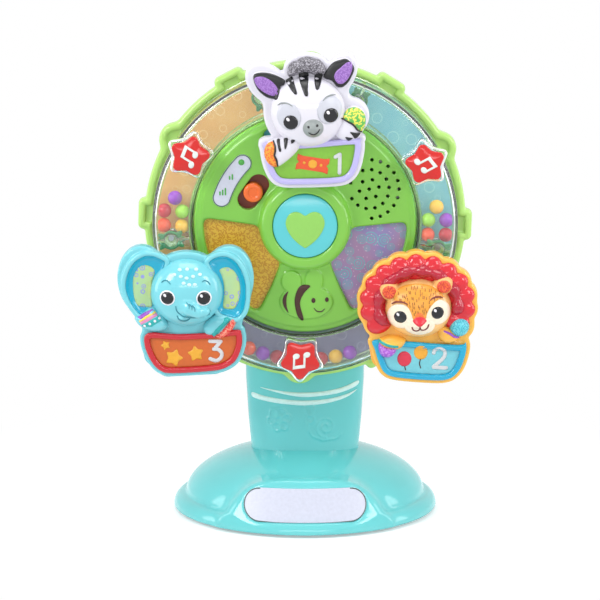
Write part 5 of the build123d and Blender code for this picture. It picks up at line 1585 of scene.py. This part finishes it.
zebra_print("cuffs", [stroke([(-20.6, -27.6), (-19.6, -30.3), (-19.4, -33.5), (-19.9, -36.4), (-18.6, -39.2),
                              (-17.8, -44)], 1.2, 0.3),
                      stroke([(21.6, -13.5), (25.7, -15.7), (28.8, -17.6), (31.3, -20.7), (34.0, -22.2)],
                             1.2, 0.3)], inks["black"], lift=2.8, spacing=0.9)


# %% Print the zebra's panel
TAG_AT = (3.6, -42.6)
tag = [(-10, -5), (-7, -4.2), (7, -4.2), (10, -5), (10, -1.6), (8.6, 0), (10, 1.6), (10, 5), (7, 4.2),
       (-7, 4.2), (-10, 5), (-10, 1.6), (-8.6, 0), (-10, -1.6)]
zebra_print("tag", [laid(tag, *TAG_AT, -9)], inks["ticket"])
zebra_print("tag_dots", [disc(*TAG_AT, 2.7), disc(-1.6, -41.8, 0.9), disc(8.8, -43.4, 0.9)],
            inks["gold"], lift=2.0, spacing=0.8)
digit(zebra_print, [[(20.4, -36.6), (20.2, -48.2)], [(20.4, -36.6), (17.6, -38.2)]])

# %% [markdown]
# ## The lion
# Its plaque is amber. The mane has two rows of red curls, a bright outer one and a
# darker one that stands up behind the head. Ears are little cups, hatched in red.

# %% Lion outlines
LION_AT = (71.4, AXLE_Z - 44.7)
LION_BASKET = [(-28.9, -24.4), (-11.5, -25), (23.8, -27.5), (28.2, -25.6), (28.9, -31), (26.5, -40),
               (22.9, -46), (17.7, -49.5), (8.3, -50.2), (-13.9, -48.4), (-21.8, -45.4), (-25.5, -38.8),
               (-27.9, -31)]
LION_ARM = [(-25.6, -24), (-20, -21.4), (-13, -21.6), (-8.6, -24.2), (-10, -28), (-13.6, -30.4),
            (-20, -30.6), (-25, -28.4)]
LION_PAW = [(-25.9, -26.2), (-24.7, -25.2), (-22.3, -26.5), (-19.1, -28), (-15.6, -28.6), (-14.5, -31),
            (-16.2, -33.9), (-19.7, -35.7), (-23.8, -34.6), (-26.1, -30.4)]
LION_SLEEVE = [(11, -16.2), (16, -15.6), (21, -18.4), (24.6, -22.4), (22, -25.8), (16, -26.6), (11.6, -23)]
MANE_AT, MANE_WIDE, MANE_HIGH = -1.6, 27.6, 22.8
CURLS = [(MANE_AT + MANE_WIDE * math.cos(a), MANE_AT + MANE_HIGH * math.sin(a), math.degrees(a))
         for a in (math.radians(212.0 - 20.0 * i) for i in range(13))]


# %% Lion forms
def lion_plan(x, z):
    plan = oval(x, z, MANE_AT, MANE_AT, MANE_WIDE, MANE_HIGH)
    for cx, cz, _ in CURLS:
        plan = join(plan, np.hypot(x - cx, z - cz) - 7.4, 1.6)
    plan = join(plan, oval(x, z, 23.8, -15.6, 7.2, 7.0), 2.0)
    return join(plan, basket_plan(x, z, LION_BASKET), 2.0)


def lion_curls(x, y, z):
    """Bright outer curls: long low mounds that lean into each other."""
    outer = 1e3
    for cx, cz, degrees in CURLS:
        outer = join(outer, egg(x, y, z, cx, cz, 8.6, 6.6, 4.8, turn=degrees), 1.4)
    return np.maximum(outer, np.maximum(y - PLAQUE, -basket_plan(x, z, LION_BASKET)))


def lion_dark_ridge(x, y, z):
    """A darker wavy ridge between the face and the outer curls."""
    wave = np.cos(13 * np.arctan2(z + 3.0, x + 1.2))
    ridge = np.abs(oval(x, z, -1.2, -2.6, 24.8, 22.4)) - 4.2 - 0.5 * wave
    return pillow(meet(ridge, 0.16 * x - 12.6 - z, 2.5), y, 7.0 + 0.6 * wave, 4.2)


# %% Lion head, arms and paws
def lion_head(x, y, z):
    face = egg(x, y, z, -1.0, -4.0, 21.0, 18.7, 14.0)
    nose = egg(x, y, z, -0.6, -11.8, 6.6, 5.2, 16.2)
    face = join(face, nose, 3.0)
    for ex, ez in ((-19.3, 7.4), (14.4, 11.0)):
        cup = egg(x, y, z, ex, ez, 6.6, 6.4, 11.5)
        dish = np.sqrt((x - ex) ** 2 + (y - PLAQUE + 14.6) ** 2 + (z - ez) ** 2) - 5.4
        face = join(face, carve(cup, dish, 0.8), 1.0)
    return np.maximum(face, y - PLAQUE)


def lion_arms(x, y, z):
    left = pillow(soft_shape(x, z, LION_ARM), y, 6.8, 5.5)
    right = pillow(soft_shape(x, z, LION_SLEEVE), y, 4.8, 5.0)
    return np.minimum(left, right)


def lion_left_paw(x, y, z):
    return pillow(soft_shape(x, z, LION_PAW), y, 7.4, 5.0)


def lion_right_paw(x, y, z):
    return np.maximum(egg(x, y, z, 24.4, -15.7, 6.3, 6.7, 7.2), y - PLAQUE)


# %% Skin the lion
lion_front = dress_gondola("lion", LION_AT, (1.3, -0.9), lion_plan, LION_BASKET, amber_abs, blue_abs,
                           inks["panel_blue"])
skin_forms("lion", LION_AT, (-40, -84, -46), (38, -65.6, 32), (
    ("_curls", lion_curls, mane_red_abs, "_mane"),
    ("_dark_ridge", lion_dark_ridge, mane_dark_abs, None),
    ("_face", lion_head, lion_amber_abs, "_head"),
    ("_sleeves", lion_arms, amber_abs, "_arms"),
    ("_violet_paw", lion_left_paw, violet_paw, None),
    ("_aqua_paw", lion_right_paw, aqua_paw, None)))


def lion_all(x, y, z):
    return union(lion_front(x, y, z), lion_curls(x, y, z), lion_head(x, y, z), lion_arms(x, y, z),
                 lion_left_paw(x, y, z), lion_right_paw(x, y, z))


lion_print = printer("lion", LION_AT, lion_all)

# %% Print the lion's cheeks and forehead
lion_print("cheeks", [disc(-12.5, -7.6, 8.0), disc(10.6, -4.9, 8.0), disc(-0.5, -13.6, 9.4, 6.2)],
           inks["cream"], lift=1.6)
forehead = [(-13.9, 8.9), (-9.2, 11.3), (-3.4, 12.3), (1.9, 12.1), (7.1, 10.7), (11.8, 7.5), (14.2, 4.4),
            (10.1, 2.5), (6.6, -0.5), (4.2, -4.7), (2.5, -9.6), (-0.7, -9.3), (-3.9, -10.4), (-5.7, -5.3),
            (-8, -1.1), (-11.5, 1.3), (-16.4, 2.5), (-15.9, 6.0)]
lion_print("forehead", [curve(forehead)], inks["amber"], lift=2.8)

# %% Print the lion's short hairs
HAIR = 1.5                     # length of a printed hair
hairs = []
spread = np.random.default_rng(7)
outline = curve(forehead)
for _ in range(150):
    hx, hz, below = spread.uniform(-14, 13), spread.uniform(-5, 11.5), spread.uniform(0.9, 1.9)
    around = np.array([[hx, hz], [hx, hz - below], [hx + 0.8, hz], [hx - 0.8, hz]])
    free = all(abs(hx - a) > 0.7 or abs(hz - b) > 1.9 for a, b in hairs)
    if free and within(around, outline).all():
        hairs.append((hx, hz))
lion_print("hairs", [stroke([(a, b), (a - a * 0.03, b - HAIR)], 0.34, smooth_line=False) for a, b in hairs],
           inks["brown"], lift=3.6, spacing=1.0)

# %% Print the lion's nose, mouth and eyes
lion_print("bridge", [curve([(-3.9, -8.8), (-2.5, -5.2), (-0.9, -4.4), (1, -5.3), (2.7, -8.2),
                             (-0.7, -7.3)])], inks["nose_orange"], lift=3.8, spacing=0.8)
lion_print("nose", [curve([(-4.8, -9.6), (-3.1, -7.8), (-0.7, -7.1), (1.9, -7.7), (3.8, -9.5), (2.5, -11.1),
                           (-0.4, -13.1), (-3.4, -11.6)])], inks["nose_red"], lift=4.6, spacing=0.8)
lion_print("mouth", [stroke([(-5.2, -14.4), (-4.5, -16.0), (-2.7, -16.8), (-0.9, -15.9), (-0.3, -13.4)],
                            0.95),
                     stroke([(-0.3, -14.2), (0.4, -15.8), (2.2, -16.1), (4.2, -14.8), (5.1, -12.5)], 0.95)],
           inks["mouth"], lift=3.0, spacing=0.6)
lion_print("brows", [stroke([(-17.7, 0.1), (-15.6, 1.3), (-13.3, 1.7), (-10.7, 1.6), (-8.2, 0.7)], 0.85,
                            0.4),
                     stroke([(6, 3.1), (7.7, 4.3), (9.8, 4.7), (11.8, 4.6), (13.7, 3.9)], 0.85, 0.4)],
           inks["mouth"], lift=5.6, spacing=0.8)
lion_print("ear_linings", [disc(-19.3, 7.2, 4.4, 4.2), disc(14.5, 10.8, 4.4, 4.1)], ear_hatch, spacing=0.9)
eyes(lion_print, [(-12.5, -7.8), (10.6, -5.1)], 3.9)

# %% Print the lion's cuffs and panel
lion_print("left_cuff", [stroke([(-25.2, -24.6), (-22, -26.0), (-18.5, -27.4), (-14.2, -28.0)], 2.0, 0.1)],
           inks["teal"], lift=2.0, spacing=0.9)
lion_print("left_band", [stroke([(-25.4, -23.4), (-22, -24.8), (-18.5, -26.2), (-14.2, -26.7)], 0.8, 0.1)],
           inks["yellow"], lift=2.0, spacing=0.9)
lion_print("right_cuff", [stroke([(15.2, -18.3), (18.4, -19.8), (21.2, -21.7), (24.0, -22.6)], 1.3, 0.2)],
           inks["violet"], lift=2.0, spacing=0.9)
lion_print("gold_balloon", [disc(0.6, -32.4, 4.3, 4.6)], inks["gold"])
lion_print("red_balloon", [disc(-9.6, -36.6, 4.4, 4.8)], inks["balloon_red"])
lion_print("balloon_strings", [stroke([(0.4, -37.0), (-0.2, -39.6), (0.6, -42.4)], 0.6),
                               stroke([(-9.4, -41.4), (-8.8, -43.6)], 0.6, smooth_line=False)],
           inks["bee_brown"], spacing=0.8)
digit(lion_print, [[(8.6, -32.8), (9.6, -30.6), (12.4, -29.8), (15.2, -31.2), (15.6, -34.2), (13.4, -37.4),
                    (8.6, -41.6)], [(8.6, -41.9), (16.6, -42.3)]])

# %% [markdown]
# ## The elephant
# Aqua ABS. Its ears are dishes with a raised rim: deep aqua at the sides and a
# printed panel in the bottom. The trunk bends to the side across the face.

# %% Elephant outlines
ELEPHANT_AT = (-77.5, AXLE_Z - 39.6)
ELEPHANT_BASKET = [(-20.1, -25), (-1.4, -25.7), (20.4, -24.6), (35.3, -22.9), (38, -25.5), (38.1, -33.2),
                   (34.4, -42.5), (27.2, -47.6), (17.3, -49.5), (-5.1, -50.8), (-12.6, -49.2),
                   (-18.2, -43.4), (-22.5, -32.6)]
DISH_LEFT = [(-33.9, 3.9), (-32.6, 12.2), (-28.6, 19.5), (-22.5, 23.4), (-16.9, 23.6), (-12, 21.6),
             (-9.5, 19.7), (-11.3, 14.3), (-12.9, 10.9), (-13.8, 5.5), (-14.6, -0.3), (-14.6, -5.4),
             (-14.3, -10.8), (-15.7, -11.9), (-24.4, -13.0), (-28.2, -9.6), (-31.6, -3.8)]
DISH_RIGHT = [(18, 19.7), (22.3, 22.7), (27.9, 23.4), (33.5, 20.8), (37.8, 14.7), (40.4, 6.4), (40.4, -3.8),
              (38.8, -11.1), (35.3, -14.7), (31.3, -14.6), (24.4, -11.8), (22.0, -5.1), (21.3, 2.6),
              (20.8, 10.3), (19.6, 16)]
SLEEVE_LEFT = [(-28.4, -14.6), (-22.5, -11.2), (-17, -8.0), (-11.6, -13), (-7.4, -19.4), (-10, -23.4),
               (-17, -24.4), (-23.8, -22.0), (-27.3, -18.6)]
SLEEVE_RIGHT = [(21, -13.4), (27, -13.2), (31.6, -15.4), (30.2, -20.4), (27, -25), (20.4, -27), (15, -25.6),
                (14.4, -20)]
HAND_RIGHT = [(21.0, -26.9), (22.9, -25.4), (25.4, -21.8), (29, -18.3), (32.1, -15.2), (34.3, -16.7),
              (34.0, -20.4), (31.0, -24.8), (27.8, -27.4), (24.4, -28.7)]


# %% Elephant forms
def elephant_plan(x, z):
    plan = oval(x, z, 3.9, 1.4, 23.0, 21.4)
    plan = join(plan, oval(x, z, -22.6, 7.2, 13.4, 19.4, 8), 4.0)
    plan = join(plan, oval(x, z, 28.9, 6.8, 13.6, 19.6, -8), 4.0)
    plan = join(plan, polygon(x, z, [(-16.0, -14.0), (29.0, -16.0), (26.0, -26.0), (-13.0, -26.0)]) - 7.0,
                2.5)
    return join(plan, basket_plan(x, z, ELEPHANT_BASKET), 1.5)


def ear_rims(x, y, z):
    """Round rims that stand up round both ear dishes."""
    out = 1e3
    for dish in (DISH_LEFT, DISH_RIGHT):
        plan = soft_shape(x, z, dish)
        out = np.minimum(out, plate(np.abs(plan - 1.5) - 1.6, y, PLAQUE - 3.6, SPLIT + 1.0, 1.6))
    return np.maximum(out, y - SPLIT - 0.02)


def ear_dishes(x, y, z):
    """Dish floors, which curve up to meet the rims."""
    out = 1e3
    for dish in (DISH_LEFT, DISH_RIGHT):
        plan = soft_shape(x, z, dish)
        floor = PLAQUE - 0.6 - 2.6 * np.clip(1 + plan / 4.6, 0, 1) ** 2
        out = np.minimum(out, np.maximum(np.maximum((floor - y) * 0.7, plan), y - PLAQUE + 0.02))
    return out


# %% Elephant head and arms
def elephant_head(x, y, z):
    face = egg(x, y, z, 3.9, 0.6, 22.5, 21.2, 14.0)
    trunk = limb(x, y, z, [(0.6, -72.6, -4.4, 6.2), (5.8, -77.4, -7.2, 5.2), (11.2, -79.0, -9.4, 4.0),
                           (16.2, -78.4, -9.4, 2.7)])
    lip = egg(x, y, z, 1.6, -13.4, 4.2, 3.0, 13.2)
    head = join(join(face, trunk, 2.0), lip, 1.6)
    for cx, cz in ((6.0, -3.4), (8.0, -4.2), (10.0, -5.0)):
        head = head + 0.3 * np.exp(-((x - cx) * 0.78 + (z - cz) * 0.62) ** 2 / 0.16
                                   - ((x - cx) * 0.62 - (z - cz) * 0.78) ** 2 / 6.0)
    return np.maximum(head, y - PLAQUE)


def elephant_arms(x, y, z):
    return np.minimum(pillow(soft_shape(x, z, SLEEVE_LEFT), y, 6.0, 6.0),
                      pillow(soft_shape(x, z, SLEEVE_RIGHT), y, 5.4, 6.0))


def elephant_hand(x, y, z):
    return pillow(soft_shape(x, z, HAND_RIGHT), y, 6.5, 4.5)


# %% Skin the elephant
elephant_front = dress_gondola("elephant", ELEPHANT_AT, (-4.5, -0.8), elephant_plan, ELEPHANT_BASKET,
                               aqua_abs, red_abs, inks["panel_orange"], ear_rims)
skin_forms("elephant", ELEPHANT_AT, (-40, -85, -34), (46, -65.6, 30), (
    ("_face", elephant_head, aqua_abs, "_head"),
    ("_sleeves", elephant_arms, aqua_abs, "_arms"),
    ("_red_hand", elephant_hand, red_hand, None)))
skin_forms("elephant", ELEPHANT_AT, (-40, -70, -20), (46, -65.2, 28), (
    ("_dishes", ear_dishes, deep_aqua_abs, "_ears"),))


def elephant_all(x, y, z):
    return union(elephant_front(x, y, z), ear_dishes(x, y, z), elephant_head(x, y, z),
                 elephant_arms(x, y, z), elephant_hand(x, y, z))


elephant_print = printer("elephant", ELEPHANT_AT, elephant_all)

# %% Print the elephant's ears and face
elephant_print("ear_panels", [
    curve([(-29.4, 4.5), (-28.8, 10.9), (-26.1, 15.8), (-22.4, 17.7), (-18.4, 16.8), (-15.8, 13.8),
           (-17.0, 9), (-18.1, 3.9), (-18.2, -2.5), (-17.6, -8.3), (-21.3, -8.7), (-25.8, -8.1),
           (-28.4, -3.8)]),
    curve([(24.4, 14.4), (26.8, 16.1), (30.4, 16.1), (33.7, 13.6), (36.4, 8.3), (37.2, 1.3), (36.1, -5.1),
           (33.4, -9.6), (29.1, -9.9), (26.6, -8.7), (27.0, -2.5), (27.1, 5.1), (25.8, 10.9)])], ear_sheet)
elephant_print("forehead_dots", [disc(x, z, 1.25, 0.95) for x, z in (
    (-0.1, 16.5), (4.5, 16.8), (10.1, 16.6), (-3.4, 13.6), (0.6, 12.6), (4.2, 11.7), (8.2, 12.6),
    (12.4, 13.6), (2.4, 8.7), (5.8, 7.8), (9.3, 7.8))], inks["pale_aqua"], spacing=0.8)
elephant_print("brows", [stroke([(-11.3, 8.5), (-10, 9.6), (-8.2, 9.9), (-6.9, 9.1), (-5.9, 7.9)], 0.8, 0.4),
                         stroke([(13.9, 9.3), (15.3, 10.0), (16.8, 9.5), (17.9, 8.5), (18.7, 7.2)], 0.8,
                                0.4)], inks["line_teal"], spacing=0.8)
elephant_print("smile", [stroke([(-1.8, -12.4), (-0.8, -14.6), (1.4, -15.9), (3.6, -15.9), (5.4, -14.9),
                                 (6.3, -13.7)], 0.8, 0.4),
                         stroke([(-2.6, -6.0), (-2.0, -9.0), (0.8, -11.7), (5.4, -13.3), (9.8, -13.9),
                                 (14.2, -13.1), (17.4, -11.6), (19.0, -9.4)], 0.55, 0.3)],
               inks["line_teal"], spacing=0.8, lift=2.0)
fold = [(4.2, -3.0), (5.7, -4.6), (5.8, -6.4)]
elephant_print("trunk_folds", [stroke(laid(fold, d, -0.5 * d), 0.5, 0.2) for d in (0.0, 1.8, 3.6)],
               inks["line_teal"], spacing=0.7, lift=2.0)
eyes(elephant_print, [(-7.8, -0.8), (14.9, -0.9)], 4.0, inks["white"])

# %% Print the elephant's cuffs
CUFF_LINES = [                 # the lines between the left cuff's bands, from the top
    [(-26.6, -14.4), (-22.6, -11.9), (-17.4, -9.2)],
    [(-25.8, -16.6), (-21.6, -13.6), (-15.8, -10.4)],
    [(-25.2, -17.7), (-20.8, -14.8), (-15.0, -11.5)],
    [(-24.4, -19.5), (-19.6, -16.6), (-13.8, -13.2)],
    [(-22.6, -21.7), (-17.6, -20.2), (-11.6, -16.6)]]
for above, below, tone in zip(CUFF_LINES, CUFF_LINES[1:], ("violet", "yellow", "pink", "teal")):
    elephant_print("band_" + tone, [above + below[::-1]], inks[tone])
elephant_print("band_dots", [disc(x, z, 0.8) for x, z in (
    (-22.2, -19.9), (-18.9, -18.4), (-15.7, -16.6), (-12.9, -14.9))], inks["white"], lift=2.0, spacing=0.7)
elephant_print("right_cuff", [[(19.2, -25.4), (21.6, -22.4), (23.9, -20.1), (26.2, -18.0), (27.4, -15.0),
                               (29.4, -14.6), (31.4, -15.9), (29, -18.7), (25.4, -22.2), (22.6, -25.8),
                               (20.8, -27.2)]], inks["teal"])


# %% Print the elephant's panel
def round_star(cx, cz, radius, degrees):
    return curve(laid(star_corners(radius, radius * 0.66, degrees), cx, cz), 5)


elephant_print("gold_stars", [round_star(-4.2, -41.0, 5.6, 70), round_star(9.4, -38.4, 5.0, 100),
                              round_star(-9.4, -33.0, 3.0, 40)], inks["star_yellow"])
digit(elephant_print, [
    [(18.2, -30.4), (25.0, -30.6)], [(24.6, -30.9), (21.2, -35.2)],
    [(20.6, -35.4), (23.6, -35.8), (25.6, -38.2), (24.8, -41.2), (22.0, -42.8), (18.4, -41.6)]])

# %% [markdown]
# ## Studio
# The photograph has a white sweep, a soft overhead light and large soft boxes.
# The background is pure white to the camera, and a floor of the same white keeps a
# faint shadow. Lamps are plain areas; the world fills the shadows.

# %% Floor
FLOOR_HALF, FLOOR_DROP = 3.0, 0.0004
corners = ((-1, -1), (1, -1), (1, 1), (-1, 1))


def sight(tree):
    """1 for rays that carry the picture: to the camera, straight, mirrored or through clear plastic."""
    ray = add(tree, "ShaderNodeLightPath").outputs
    seen = add(tree, "ShaderNodeMath", {0: ray["Is Camera Ray"], 1: ray["Is Transmission Ray"]},
               operation="MAXIMUM")
    return add(tree, "ShaderNodeMath", {0: seen, 1: ray["Is Glossy Ray"]}, operation="MAXIMUM")


floor_white, tree, place = new_material("floor_white")
paper = add(tree, "ShaderNodeBsdfPrincipled", {"Base Color": shade("FFFFFF", 0.86), "Roughness": 0.55})
away = add(tree, "ShaderNodeVectorMath", {0: place}, operation="LENGTH").outputs["Value"]
far = add(tree, "ShaderNodeMapRange", {"Value": away, "From Min": 0.12, "From Max": 0.3},
          interpolation_type="SMOOTHSTEP")
glow = add(tree, "ShaderNodeEmission", {"Strength": 0.34})
lifted = add(tree, "ShaderNodeAddShader", {0: paper, 1: glow})
white = add(tree, "ShaderNodeEmission", {"Strength": 1.0})
sweep = add(tree, "ShaderNodeMixShader", {0: far, 1: lifted, 2: white})
finished(floor_white, {0: sight(tree), 1: paper, 2: sweep}, "ShaderNodeMixShader")

floor_mesh = bpy.data.meshes.new("floor")
floor_mesh.from_pydata([(x * FLOOR_HALF, y * FLOOR_HALF, -FLOOR_DROP) for x, y in corners], [],
                       [(0, 1, 2, 3)])
floor_mesh.materials.append(floor_white)
put("floor", floor_mesh)

# %% White world
world = bpy.data.worlds.new("studio")
bpy.context.scene.world = world
world.use_nodes = True
tree = world.node_tree
tree.nodes.clear()
fill_light = add(tree, "ShaderNodeBackground", {"Color": (0.97, 0.98, 1.0, 1.0), "Strength": 0.5})
backdrop = add(tree, "ShaderNodeBackground", {"Color": linear("FFFFFF"), "Strength": 1.0})
mixed = add(tree, "ShaderNodeMixShader", {0: sight(tree), 1: fill_light, 2: backdrop})
add(tree, "ShaderNodeOutputWorld", {"Surface": mixed})
print("floor", 2 * FLOOR_HALF, "m across, under a white world")


# %% Lamps
def aim(piece, target):
    """Lamps and cameras look along their own -Z."""
    piece.rotation_euler = (Vector(target) - piece.location).to_track_quat("-Z", "Y").to_euler()


def soft_box(name, place, size, watts):
    data = bpy.data.lights.new(name, "AREA")
    data.shape = "RECTANGLE"
    data.size, data.size_y = size
    data.energy = watts
    lamp = put(name, data)
    lamp.location = place
    aim(lamp, (0.0, -0.02, 0.15))


soft_box("key_left", (-0.9, -0.8, 0.9), (0.4, 0.5), 7.0)
soft_box("key_right", (0.95, -0.75, 0.75), (0.35, 0.5), 4.6)
soft_box("top", (0.0, -0.15, 1.15), (0.7, 0.5), 4.6)
soft_box("side_left", (-1.15, -0.05, 0.4), (0.45, 0.7), 3.2)
soft_box("side_right", (1.15, -0.05, 0.4), (0.45, 0.7), 3.2)
soft_box("low_front", (0.0, -1.3, 0.42), (0.9, 0.1), 1.6)
print(len(bpy.data.lights), "lamps")

# %% [markdown]
# ## Camera
# A long lens from a little above, straight on, 2.7 metres from the toy's middle.
# From so far the wheel's front and back are drawn at almost the same size.

# %% Camera and finish
TARGET = Vector((-3.2, -30.0, 140.6)) * MM
DISTANCE = 2.7
elevation = math.radians(11.5)
lens = bpy.data.cameras.new("camera")
lens.sensor_width = 36.0
lens.lens = 257.2
camera = put("camera", lens)
camera.location = TARGET + DISTANCE * Vector((0.0, -math.cos(elevation), math.sin(elevation)))
aim(camera, TARGET)
bpy.context.scene.camera = camera
bpy.context.scene.view_settings.view_transform = "Standard"
